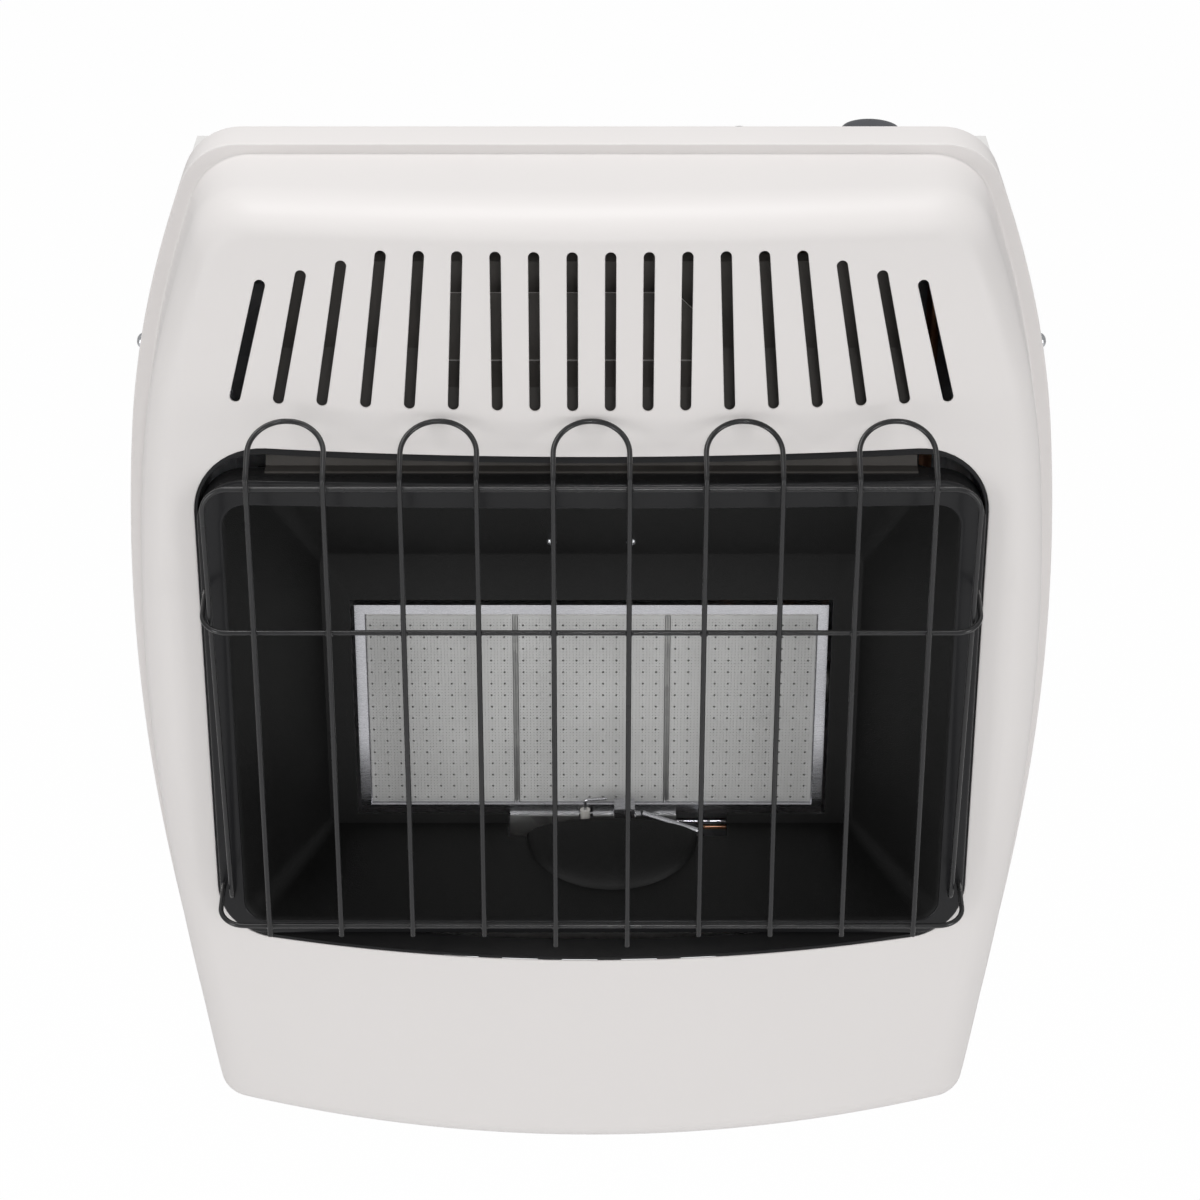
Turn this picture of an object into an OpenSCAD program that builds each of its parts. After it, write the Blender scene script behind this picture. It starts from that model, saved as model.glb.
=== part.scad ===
// Wall mounted infrared gas heater with three ceramic burner plaques.
// X runs to the right, Y into the wall and Z up. The origin is on the wall face of the back
// sheet, half way up the front cover, so everything lies at negative Y.

/* [Front cover] */
// Height of the front cover
cover_h = 618; // [590:1:760]
// Width of the front cover half way up, where it is widest
cover_w = 561; // [540:1:700]
// How far each side draws in from the middle to the top and bottom edges
side_bow = 38; // [20:1:48]
// Further drawing in of each side near the top and bottom
corner_bow = 16; // [0:1:22]
// Height above and below the middle at which that further drawing in starts
bow_start = 130; // [90:1:180]
// Radius of the cover's four corners, seen from the front
cover_corner_r = 22; // [14:1:30]
// Distance of the flat rim band from the wall
rim_front = 105; // [90:1:130]
// Depth of the rim's side wall
rim_depth = 30; // [15:1:45]
// Width of the flat rim band
rim_band = 9.5; // [5:0.5:16]
// Distance of the front face from the wall, beside the opening
face_depth = 177; // [165:1:215]
// How far the front face bows out in plan at its top
bow_top = 17; // [5:1:30]
// How much more it bows out at its bottom
bow_more = 27; // [5:1:40]
// Width of the rounding at the top edge of the bulge
round_top = 19; // [10:1:30]
// Width of the rounding at the side edges of the bulge
round_side = 26; // [12:1:32]
// Width of the rounding at the bottom edge of the bulge
round_bottom = 14; // [8:1:30]
// Thickness of the enamelled sheet steel
sheet = 1.2; // [0.8:0.1:2]

/* [Opening] */
// Width of the opening in the cover
open_w = 460; // [380:1:470]
// Height of the opening's top edge above the middle
open_top = 154; // [150:1:160]
// Depth of the opening's bottom edge below the middle
open_bottom = 178.5; // [176:0.5:230]
// Corner radius of the opening's upper corners
open_corner_r = 44; // [28:1:48]
// Corner radius of the opening's lower corners
open_low_r = 32; // [28:1:33]
// Depth of the black lining strip behind the opening's edge
lining_depth = 21.5; // [10:0.5:24]
// Height of the lining strip's turned down edge along the top of the opening
lining_lip = 3.6; // [2.4:0.1:6]

/* [Slots] */
// Number of warm air slots on each side of the middle
slot_count = 9; // [4:1:9]
// Width of one slot
slot_w = 6.2; // [4:0.1:8]
// Distance between the upright slots
slot_pitch = 21.25; // [18:0.25:22]
// How much further apart the lower ends of the leaning slots are
slot_spread = 3.6; // [0:0.1:4]
// Height of the slots' lower ends above the middle
slot_low = 185.5; // [176:0.5:190]
// Length of the long slots in the middle
slot_len = 96; // [60:1:100]
// How many slots each side of the middle stand upright
slot_upright = 3; // [1:1:6]
// How much further each of the other slots leans, in degrees
slot_lean = 2.35; // [0:0.05:3]
// How much shorter each of the outermost slots is than the one before
slot_step = 6.2; // [0:0.2:8]

/* [Case] */
// Height of the case's top deck above the middle, at the cover's nominal height
deck_drop = 33; // [28:1:50]
// Height of the case's bottom above the cover's bottom edge
floor_rise = 19; // [12:1:40]
// Clearance between the cover's rim and the case
case_gap = 0.5; // [0.3:0.1:2]
// Depth of the hanging recess in the back sheet
recess_depth = 9; // [6:0.5:12]
// Spacing of the wall screws in the hanging bracket
hanger_spacing = 406.4; // [300:0.1:420]
// Radius of the wall screw holes
wall_hole_r = 2.75; // [2:0.05:4]
// Spacing of the two lower fixing holes
lower_spacing = 355.6; // [250:0.1:400]

/* [Firebox] */
// Distance of the firebox frame's face from the wall
frame_front = 187; // [180:0.5:192]
// Width of the firebox frame's band at the sides
frame_band = 14.5; // [8:0.5:16]
// Gap between the firebox frame and the cover's opening at the sides
frame_side_gap = 2.5; // [2:0.5:8]
// Warm air gap between the firebox frame and the top of the opening
frame_top_gap = 18; // [8:1:26]
// Corner radius of the hole in the firebox frame
firebox_r = 14; // [8:1:24]
// Distance of the liner's inner panel from the wall
panel_front = 100; // [96:0.5:110]
// Width of the inner panel
panel_w = 332; // [310:1:350]
// Slope of the firebox's roof, in degrees
roof_angle = 56; // [48:1:64]
// How far the firebox frame bows forward in plan along its top
frame_bow = 5.5; // [0:0.5:8]
// Height of the inner panel's top edge above the middle
panel_top = 43; // [20:1:60]
// Width of the pressed hood over the pilot
hood_w = 108; // [60:1:120]
// Depth of that hood from back to front
hood_d = 48; // [30:1:60]
// Height of the hood
hood_h = 13.5; // [8:0.5:20]

/* [Burner] */
// Width of one ceramic plaque
tile_w = 92; // [80:0.5:98]
// Height of one ceramic plaque
tile_h = 137; // [110:0.5:138]
// Thickness of one ceramic plaque
tile_t = 13; // [10:0.5:16]
// Number of plaques side by side
tile_count = 3; // [1:1:3]
// Gap between two plaques, taken up by a divider strip
tile_gap = 3; // [2:0.5:6]
// Distance of the plaques' faces from the wall
tile_front = 85; // [80:0.5:90]
// Height of the plaques' middle, below the middle of the cover
tile_drop = 75.3; // [60:0.1:80]
// Width of the bright frame round the plaques
trim_w = 7; // [5.5:0.5:9]
// How much higher the bright frame and its box sit than the plaques
trim_rise = 1.9; // [0:0.1:2.5]
// Outer diameter of the mixing tube
mixer_d = 26; // [18:0.5:28]

/* [Guard] */
// Diameter of the guard's round bar
wire_d = 3.2; // [2.5:0.1:5]
// Number of hairpin bars
hairpins = 5; // [3:1:5]
// Distance between neighbouring upright legs
leg_pitch = 43; // [30:0.5:44]
// Distance of the upright legs' centres from the wall
leg_front = 228; // [222:0.5:240]
// Height at which the hairpins lean back towards the cover
hairpin_knee = 155.5; // [152:0.5:158]
// Height of the hairpins' tops above the middle
hairpin_top = 177.5; // [174:0.5:181]
// Depth of the legs' ends below the middle
leg_bottom = 149; // [120:1:160]
// Extra length of the middle hairpin's legs
middle_extra = 7.5; // [0:0.5:12]
// Height of the top bar above the middle
top_bar_z = 148.5; // [130:0.5:150]
// Height of the middle bar above the middle
mid_bar_z = 57; // [0:1:90]
// Depth of the bottom bar below the middle
bottom_bar_z = 144; // [120:1:148]

/* [Controls] */
// Distance of the knob from the middle, to the right
knob_x = 164; // [120:1:190]
// Distance of the knob's and button's axes from the wall
knob_back = 46; // [40:0.5:52]
// Diameter of the knob
knob_d = 40; // [30:1:44]
// Height of the knob's body
knob_h = 17; // [12:0.5:22]
// How far the knob is pushed in before it turns
knob_push = 4; // [2:0.5:5]
// Distance of the igniter button from the middle, to the right
button_x = 87; // [50:1:110]
// Diameter of the igniter button
button_d = 12; // [8:0.5:14]
// Travel of the igniter button
button_push = 6; // [3:0.5:8]
// Radius of the gas inlet's pipe end
inlet_r = 8.57; // [6:0.01:12]

/* [Hidden] */
$fn = 48;
fine = 0.01;
half_h = cover_h / 2;
half_w = cover_w / 2;

// Outline of the cover: half its width at height z.
function side_x(z) = half_w - side_bow * pow(z / half_h, 2)
    - corner_bow * pow(max(0, abs(z) - bow_start) / (half_h - bow_start), 2);

// Distance of the front face from the wall at x and z.
bow_from = 184;
bow_span = 484;
function bow_at(z) = bow_top + bow_more * pow(min(1, max(0, (bow_from - z) / bow_span)), 1.5);
function face_y(x, z) = -(face_depth + bow_at(z) * (1 - pow(2 * x / open_w, 2)));

// Points on one quarter of an outline: along the end, round the corner, down the side. An
// outline with a curved side gives the height mid at which its side's lower span starts.
n_end = 5;
n_arc = 4;
n_upper = 4;
n_side = 5;
n_quarter = n_end + n_arc + n_upper + n_side;
function quarter(h, r, width, mid) = let (
        slope = (width(h - r * 0.6 - 1) - width(h - r * 0.6 + 1)) / 2,
        lean = atan(slope),
        z_side = h - r + r * sin(lean),
        x_arc = width(z_side) - r * cos(lean),
        turns = is_undef(mid) ? n_arc + n_upper : n_arc,
        z_low = is_undef(mid) ? z_side : mid)
    concat([for (i = [0:n_end - 1]) [x_arc * i / n_end, h]],
        [for (i = [0:turns]) let (a = 90 - (90 - lean) * i / turns)
            [x_arc + r * cos(a), h - r + r * sin(a)]],
        [for (i = [1:1:n_arc + n_upper - turns]) let (z = z_side + (z_low - z_side) * i / n_upper)
            [width(z), z]],
        [for (i = [1:n_side]) let (z = z_low * (1 - i / n_side)) [width(z), z]]);

// A whole outline from its top half height, bottom half height, corner radius and width
// function. Its lower corners may have a radius of their own.
function outline(top, bottom, r, width, mid, r_low) = let (
        upper = quarter(top, r, width, mid),
        lower = quarter(bottom, is_undef(r_low) ? r : r_low, function (z) width(-z), mid),
        right = concat([for (i = [0:n_quarter - 1]) upper[i]],
            [for (i = [n_quarter:-1:0]) [lower[i][0], -lower[i][1]]]))
    concat(right, [for (i = [len(right) - 2:-1:1]) [-right[i][0], right[i][1]]]);

// The cover's outline drawn in by separate amounts at the top, sides and bottom.
function cover_loop(top, side, bottom, r) =
    outline(half_h - top, half_h - bottom, r, function (z) side_x(z) - side, 0.55 * half_h);

// The opening's outline, drawn in by d and by more along its top.
function open_loop(d, more = 0) = outline(open_top - d - more, open_bottom - d,
    open_corner_r - d - more, function (z) open_w / 2 - d, undef, open_low_r - d);

// A plain rounded rectangle from its half width, top, bottom and radius.
function box_loop(half, top, bottom, r) = outline(top, bottom, r, function (z) half);

function at_y(loop, y) = [for (p = loop) [p[0], y, p[1]]];
function on_face(loop, back) = [for (p = loop) [p[0], face_y(p[0], p[1]) + back, p[1]]];
function blend_loops(a, b, t) = [for (i = [0:len(a) - 1]) a[i] * (1 - t) + b[i] * t];

// A ring shaped solid whose skin runs through the loops in turn and back to the first.
module loop_solid(loops) {
    n = len(loops[0]);
    m = len(loops);
    function at(k, i) = (k % m) * n + i % n;
    polyhedron([for (loop = loops, p = loop) p],
        [for (k = [0:m - 1], i = [0:n - 1], half = [0, 1])
            half == 0 ? [at(k, i), at(k, i + 1), at(k + 1, i)]
                : [at(k, i + 1), at(k + 1, i + 1), at(k + 1, i)]],
        convexity = 8);
}

// A round bar through the points of a path, bent to one radius at each corner.
function unit(v) = v / norm(v);
function turn(a, b, c) = acos(unit(b - a) * unit(c - b));
function setback(path, i, bend) = i == 0 || i == len(path) - 1 ? 0
    : bend_at(bend, i) * tan(turn(path[i - 1], path[i], path[i + 1]) / 2);
function bend_at(bend, i) = is_list(bend) ? bend[i] : bend;
module bar(path, r, bend) {
    for (i = [0:len(path) - 2]) {
        u = unit(path[i + 1] - path[i]);
        start = path[i] + u * setback(path, i, bend);
        length = norm(path[i + 1] - path[i]) - setback(path, i, bend)
            - setback(path, i + 1, bend);
        if (length > fine) aim(start, u) cylinder(r = r, h = length);
    }
    for (i = [1:1:len(path) - 2]) {
        u = unit(path[i] - path[i - 1]);
        v = unit(path[i + 1] - path[i]);
        n = unit(v - (u * v) * u);
        z = cross(u, n);
        c = path[i] - u * setback(path, i, bend) + n * bend;
        multmatrix([[-n[0], u[0], z[0], c[0]], [-n[1], u[1], z[1], c[1]],
                [-n[2], u[2], z[2], c[2]]])
            rotate_extrude(angle = turn(path[i - 1], path[i], path[i + 1]))
                translate([bend, 0]) circle(r);
    }
}

// The same bar as one faceted tube, for paths whose legs don't lie along the axes. The bend may
// be one radius or a list of them, one for each point of the path.
bar_sides = 10;
bend_steps = 5;
function bend_points(path, i, bend) = let (
        u = unit(path[i] - path[i - 1]),
        v = unit(path[i + 1] - path[i]),
        n = unit(v - (u * v) * u),
        a = turn(path[i - 1], path[i], path[i + 1]),
        r = bend_at(bend, i),
        c = path[i] - u * setback(path, i, bend) + n * r)
    [for (k = [0:bend_steps]) let (t = a * k / bend_steps)
        [c - n * r * cos(t) + u * r * sin(t), u * cos(t) + n * sin(t)]];
function bar_stations(path, bend) = concat([[path[0], unit(path[1] - path[0])]],
    [for (i = [1:1:len(path) - 2]) each bend_points(path, i, bend)],
    [[path[len(path) - 1], unit(path[len(path) - 1] - path[len(path) - 2])]]);
module bent_bar(path, r, bend, up = [0, 0, 1]) {
    stations = bar_stations(path, bend);
    n = bar_sides;
    m = len(stations);
    rings = [for (s = stations) let (side = unit(cross(s[1], up)), top = cross(side, s[1]),
            grow = r / cos(90 / n))
        for (j = [0:n - 1]) s[0] + grow * (side * cos(360 * j / n) + top * sin(360 * j / n))];
    polyhedron(rings, concat([[for (j = [n - 1:-1:0]) j]],
        [for (k = [0:m - 2], j = [0:n - 1], half = [0, 1]) let (a = k * n + j,
                b = k * n + (j + 1) % n)
            half == 0 ? [a, b, a + n] : [b, b + n, a + n]],
        [[for (j = [0:n - 1]) (m - 1) * n + j]]));
}

// Stands its children's Z axis along the direction u, at the point p.
module aim(p, u) {
    translate(p) rotate([0, acos(u[2]), atan2(u[1], u[0])]) children();
}

module box(low, high) {
    translate(low) cube(high - low);
}

// Case
deck_z = half_h - deck_drop;
base_z = -half_h + floor_rise;
case_front = rim_front - sheet;
function case_out(z) = side_x(z) - sheet - case_gap;
function case_in(z) = case_out(z) - sheet;
case_steps = 24;
seam = 0.1;
case_zs = [for (i = [0:case_steps]) base_z + (deck_z - base_z) * i / case_steps];
lower_fix_z = base_z + 50;

// Hanging bracket and the recess that takes it
hanger_t = 1.5;
hanger_z = 160;
hanger_h = 38;
hanger_end = 14;
recess_h = 46;
recess_w = hanger_spacing + 2 * hanger_end + 8;
hook_x = 190;
hook_w = 22;
hook_lip = 9;
hook_z = hanger_z + 2;
hook_slot_h = hook_lip + hanger_t + 3;

// Side screws of the cover
cover_screw_zs = [half_h - 128, 103 - half_h];
cover_screw_y = -(rim_front - rim_depth / 2);
cover_screw_r = 2;
cover_head_r = 4.4;
cover_head_h = 3;
screw_gap = 0.3;

// Firebox
tiles_half = (tile_count * tile_w + (tile_count - 1) * tile_gap) / 2;
frame_half = open_w / 2 - frame_side_gap;
frame_top = open_top - frame_top_gap;
frame_bottom_gap = 3.5;
frame_bottom = open_bottom - frame_bottom_gap;
frame_return = 17;
hole_half = frame_half - frame_band;
hole_top = frame_top - frame_band - 1.5;
hole_bottom = frame_bottom - frame_band + 5;
liner_flange = 4.4;
liner_front = frame_front - sheet;
panel_half = panel_w / 2;
panel_bottom = tile_drop + tile_h / 2 + 5.2;
panel_r = 6;
window_half = tiles_half + trim_w + 0.5;
window_top = tile_h / 2 - tile_drop + 18.8;
window_bottom = panel_bottom - 7;
liner_depth = liner_front - panel_front;
mouth_top = frame_top - 2 * sheet - 1.2;
mouth_lip = 0.8;
roof_front = panel_front + (mouth_top - panel_top) / tan(roof_angle);
function liner_floor(y) = -(panel_bottom
    + (hole_bottom - panel_bottom) * (-y - panel_front) / liner_depth);
function liner_roof(y) = min(mouth_top, panel_top + (-y - panel_front) * tan(roof_angle));
notch_left = -53;
notch_right = 86;
notch_depth = 12;
hood_x = 13;
liner_screw_x = 24;
liner_screw_y = -109.5;
liner_screw_r = 1.6;
liner_head_r = 3.2;
shield_back_flange = 14;
shield_notch = 24;
shield_front = frame_front - 8;

// Burner
trim_half = tiles_half - 1 + trim_w;
trim_half_h = tile_h / 2 + trim_w - 0.1;
trim_bevel = 0.7;
trim_front = tile_front + 3;
trim_skirt = 13;
box_half = trim_half - sheet - 0.3;
box_half_h = trim_half_h - sheet - 0.3;
box_back = 30;
gasket_gap = 0.2;
ledge = 6;
mixer_r = mixer_d / 2;
mixer_wall = 1.5;
mixer_flange = 3;
mixer_out = 44;
mixer_reach = 46;
mixer_end = box_half + mixer_out;
mixer_in = box_half - mixer_reach;
injector_gap = 17;
injector_x = mixer_end + injector_gap;

// Controls
deck_under = deck_z - sheet;
valve_w = 44;
valve_h = 43;
valve_d = 34;
valve_low = deck_under - valve_h;
supply_z = valve_low + 22;
neck_r = 8;
spindle_r = 4;
run_gap = 0.3;
knob_z = deck_z + knob_push + 1;
button_top = deck_z + 23;
igniter_r = button_d / 2 + 1.6;
supply_r = 4;
inlet_tube_r = 4.75;
pilot_tube_r = 2;
lead_r = 1.6;
spark_lead_r = 1.3;
tube_y = -knob_back;
duct_y = -20;
regulator_z = base_z + 25;
regulator_x = 128;
regulator_w = 48;
regulator_h = 36;

// Pilot
pilot_y = -98;
pilot_x = 21;
pilot_shelf_z = -tile_drop + trim_rise - trim_half_h;
pilot_plate_top = pilot_shelf_z + 4;
pilot_low = pilot_shelf_z - 30.2;
pilot_run_y = -38;
pilot_run_z = pilot_low - 7;
spark_x = -4;
sensor_x = 70;

// The white front cover: rim wall, flat rim band, rounded edge and bowed face, with its
// opening and warm air slots. The skin is drawn as loops from the rim to the opening and back.
edge_angles = [18, 36, 54, 72];
function edge_loop(a, back) = let (
        keep = 1 - cos(a),
        more = back * cos(a),
        loop = cover_loop(rim_band + round_top * keep + more, rim_band + round_side * keep + more,
            rim_band + round_bottom * keep + more, cover_corner_r))
    [for (p = loop) [p[0], -rim_front + back * sin(a)
        - (-face_y(p[0], p[1]) - rim_front) * sin(a), p[1]]];
face_loop = cover_loop(rim_band + round_top, rim_band + round_side, rim_band + round_bottom,
    cover_corner_r);
function cover_ring(d, r) = cover_loop(d, d, d, r);
module front_cover() {
    outside = concat([at_y(cover_ring(0, cover_corner_r), -rim_front + rim_depth),
            at_y(cover_ring(0, cover_corner_r), -rim_front + 1.5),
            at_y(cover_ring(1.5, cover_corner_r - 1.5), -rim_front),
            at_y(cover_ring(rim_band, cover_corner_r), -rim_front)],
        [for (a = edge_angles) edge_loop(a, 0)],
        [for (t = [0, 0.35, 0.7, 1]) on_face(blend_loops(face_loop, open_loop(0), t), 0)]);
    inside = concat([for (t = [1, 0.7, 0.35, 0])
            on_face(blend_loops(face_loop, open_loop(0), t), sheet)],
        [for (i = [len(edge_angles) - 1:-1:0]) edge_loop(edge_angles[i], sheet)],
        [at_y(cover_ring(rim_band + sheet, cover_corner_r), -rim_front + sheet),
            at_y(cover_ring(sheet, cover_corner_r - sheet), -rim_front + sheet),
            at_y(cover_ring(sheet, cover_corner_r - sheet), -rim_front + rim_depth)]);
    color("whitesmoke") difference() {
        loop_solid(concat(outside, inside));
        slots();
        cover_screw_axes() cylinder(r = cover_screw_r + screw_gap, h = 20, center = true);
    }
}

// The slots stand upright in the middle and fan out towards the sides.
slot_full = 5;
module slots() {
    lean_from = slot_upright - 1;
    for (side = [-1, 1], k = [0:slot_count - 1]) {
        lean = slot_lean * max(0, k - lean_from);
        x = slot_pitch * (k + 0.5) + slot_spread * max(0, k - lean_from);
        length = slot_len - slot_step * max(0, k - slot_full);
        translate([side * x, -rim_front, slot_low]) rotate([90, side * -lean, 0])
            linear_extrude(face_depth) {
                translate([-slot_w / 2, 0]) square([slot_w, length - slot_w]);
                circle(d = slot_w);
                translate([0, length - slot_w]) circle(d = slot_w);
            }
    }
}

// Puts its children at each side screw, Z pointing out of the cover at right angles to it.
module cover_screw_axes() {
    for (side = [-1, 1], z = cover_screw_zs) {
        lean = atan((side_x(z - 1) - side_x(z + 1)) / 2);
        translate([side * side_x(z), cover_screw_y, z]) rotate([0, side * (90 - lean), 0])
            children();
    }
}

module cover_screws() {
    color("silver") cover_screw_axes() difference() {
        union() {
            translate([0, 0, 0.1]) rotate_extrude() polygon(concat([[0, 0], [cover_head_r, 0]],
                [for (a = [0:15:75]) [cover_head_r * cos(a), 0.6 + (cover_head_h - 0.6) * sin(a)]],
                [[0, cover_head_h]]));
            translate([0, 0, -7]) cylinder(r = cover_screw_r, h = 8);
        }
        for (a = [0, 90]) rotate(a) translate([-2.2, -0.5, cover_head_h - 1])
            cube([4.4, 1, 3]);
    }
}

// The black strip that lines the cover's opening, with a lip turned down along its top.
lining_gap = 0.4;
lining_set = 0.5;
lip_roll = 0.4;
module opening_lining() {
    inner = lining_gap + sheet;
    lip = open_loop(inner + lip_roll, lining_lip - sheet - lip_roll);
    color([0.05, 0.05, 0.05]) loop_solid([
        on_face(open_loop(lining_gap), lining_depth), on_face(open_loop(lining_gap), lining_set),
        on_face(lip, lining_set), on_face(lip, lining_set + sheet),
        on_face(open_loop(inner), lining_set + sheet), on_face(open_loop(inner), lining_depth)]);
}

// The case: a back sheet with its hanging recess, two curved sides, a top deck and a bottom.
module case_back() {
    color("gainsboro") {
        difference() {
            translate([0, 0, 0]) rotate([90, 0, 0]) linear_extrude(sheet)
                polygon(concat([for (z = inner_zs) [case_in(z) - seam, z]],
                    [for (i = [case_steps:-1:0]) [seam - case_in(inner_zs[i]), inner_zs[i]]]));
            box([-recess_w / 2, -sheet - 1, hanger_z - recess_h / 2],
                [recess_w / 2, 1, hanger_z + recess_h / 2]);
            for (side = [-1, 1]) translate([side * lower_spacing / 2, 0, lower_fix_z])
                rotate([90, 0, 0]) cylinder(r = 3, h = 10, center = true);
        }
        difference() {
            box([-recess_w / 2 - sheet, -recess_depth - sheet, hanger_z - recess_h / 2 - sheet],
                [recess_w / 2 + sheet, -sheet / 2, hanger_z + recess_h / 2 + sheet]);
            box([-recess_w / 2, -recess_depth, hanger_z - recess_h / 2],
                [recess_w / 2, 1, hanger_z + recess_h / 2]);
            for (side = [-1, 1]) box([side * hook_x - hook_w / 2 - 1, -recess_depth - 5,
                    hook_z - hook_slot_h],
                [side * hook_x + hook_w / 2 + 1, 0, hook_z]);
        }
    }
}
inner_zs = [for (i = [0:case_steps])
    base_z + sheet + (deck_z - base_z - 2 * sheet) * i / case_steps];

module case_side() {
    difference() {
        rotate([90, 0, 0]) linear_extrude(case_front)
            polygon(concat([for (z = case_zs) [case_out(z), z]],
                [for (i = [case_steps:-1:0]) [case_in(case_zs[i]), case_zs[i]]]));
        cover_screw_axes() cylinder(r = cover_screw_r + screw_gap, h = 30, center = true);
    }
}

module case_side_left() {
    color("white") mirror([1, 0, 0]) case_side();
}

module case_side_right() {
    color("white") case_side();
}

// The deck carries the valve and the igniter through two round holes.
deck_lip = 12;
module case_top() {
    color("white") difference() {
        union() {
            box([-case_in(deck_z), -case_front, deck_under], [case_in(deck_z), 0, deck_z]);
            box([-case_in(deck_z), -case_front, deck_z - deck_lip],
                [case_in(deck_z), -case_front + sheet, deck_under]);
        }
        translate([knob_x, tube_y, deck_z]) cylinder(r = neck_r + screw_gap, h = 10, center = true);
        translate([button_x, tube_y, deck_z])
            cylinder(r = igniter_r + screw_gap, h = 10, center = true);
    }
}

module case_bottom() {
    color("white") difference() {
        union() {
            box([-case_in(base_z), -case_front, base_z], [case_in(base_z), 0, base_z + sheet]);
            box([-case_in(base_z), -case_front, base_z + sheet],
                [case_in(base_z), -case_front + sheet, base_z + deck_lip]);
        }
        translate([regulator_x, tube_y, base_z]) cylinder(r = inlet_r + 3, h = 10, center = true);
        for (x = [-180:40:60]) box([x, -75, base_z - 1], [x + 24, -68, base_z + 4]);
        for (x = [-180:40:60]) box([x, -50, base_z - 1], [x + 24, -43, base_z + 4]);
    }
}

// The bracket stays on the wall; its two hooks pass through slots in the recess and turn up.
module wall_bracket() {
    half = hanger_spacing / 2 + hanger_end;
    color("silver") difference() {
        union() {
            box([-half, -hanger_t, hanger_z - hanger_h / 2], [half, 0, hanger_z + hanger_h / 2]);
            for (side = [-1, 1]) hook(side * hook_x);
        }
        for (side = [-1, 1]) translate([side * hanger_spacing / 2 , 0, hanger_z - 8])
            rotate([90, 0, 0]) cylinder(r = wall_hole_r, h = 10, center = true);
    }
}

module hook(x) {
    lip_back = recess_depth + sheet + 0.3;
    box([x - hook_w / 2, -lip_back - hanger_t, hook_z - hanger_t],
        [x + hook_w / 2, -hanger_t, hook_z]);
    box([x - hook_w / 2, -lip_back - hanger_t, hook_z],
        [x + hook_w / 2, -lip_back, hook_z + hook_lip]);
}

// The glossy frame at the mouth of the firebox: a flat band with a return all round.
frame_round = 1.5;
function on_frame(loop, back) = [for (p = loop) [p[0], back - frame_front - frame_bow
    * (p[1] + frame_bottom) / (frame_top + frame_bottom) * (1 - pow(p[0] / frame_half, 2)),
    p[1]]];
function frame_loop(d) = box_loop(frame_half - d, frame_top - d, frame_bottom - d,
    firebox_r + frame_band - 0.5 - d);
function hole_loop(d) = box_loop(hole_half + d, hole_top + d, hole_bottom + d, firebox_r + d);
module firebox_frame() {
    back = -frame_front + frame_return;
    color([0.1, 0.1, 0.1]) difference() {
        loop_solid([at_y(frame_loop(0), back), on_frame(frame_loop(0), frame_round),
            on_frame(frame_loop(frame_round), 0), on_frame(hole_loop(frame_round), 0),
            on_frame(hole_loop(0), sheet), on_frame(frame_loop(sheet), sheet),
            at_y(frame_loop(sheet), back)]);
        guard_ends() cylinder(r = wire_d / 2 + screw_gap, h = 12, center = true);
    }
}

// The matt black liner: flange, sloping walls and an inner panel with the burner window, and
// in its floor the notch for the pilot and the pressed hood in front of it. The roof slopes up
// to the mouth's height and then runs level to the mouth.
function liner_loop(d, y) = let (t = (-y - panel_front) / liner_depth)
    box_loop(panel_half + (hole_half - panel_half) * t + d, liner_roof(y) + d,
        -liner_floor(y) + d, panel_r + (firebox_r - panel_r) * t);
module firebox_liner() {
    flange = box_loop(hole_half + liner_flange, mouth_top + sheet + mouth_lip,
        hole_bottom + liner_flange, firebox_r + liner_flange);
    window = box_loop(window_half, window_top, window_bottom, 1);
    color([0.06, 0.06, 0.06]) difference() {
        union() {
            loop_solid([
                at_y(flange, -liner_front + sheet),
                at_y(flange, -liner_front),
                at_y(liner_loop(0, -liner_front), -liner_front),
                at_y(liner_loop(0, -roof_front), -roof_front),
                at_y(liner_loop(0, -panel_front), -panel_front),
                at_y(window, -panel_front),
                at_y(window, -panel_front + sheet),
                at_y(liner_loop(sheet, -panel_front), -panel_front + sheet),
                at_y(liner_loop(sheet, -roof_front), -roof_front + sheet / 2),
                at_y(liner_loop(sheet, -liner_front), -liner_front + sheet)]);
            pilot_hood(0, 0.6);
        }
        box([notch_left, -panel_front - notch_depth, -panel_bottom - 10],
            [notch_right, -panel_front + 5, 1 - window_bottom]);
        pilot_hood(sheet, 4);
        liner_screw_axes() cylinder(r = liner_screw_r + screw_gap, h = 20, center = true);
    }
}

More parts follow.
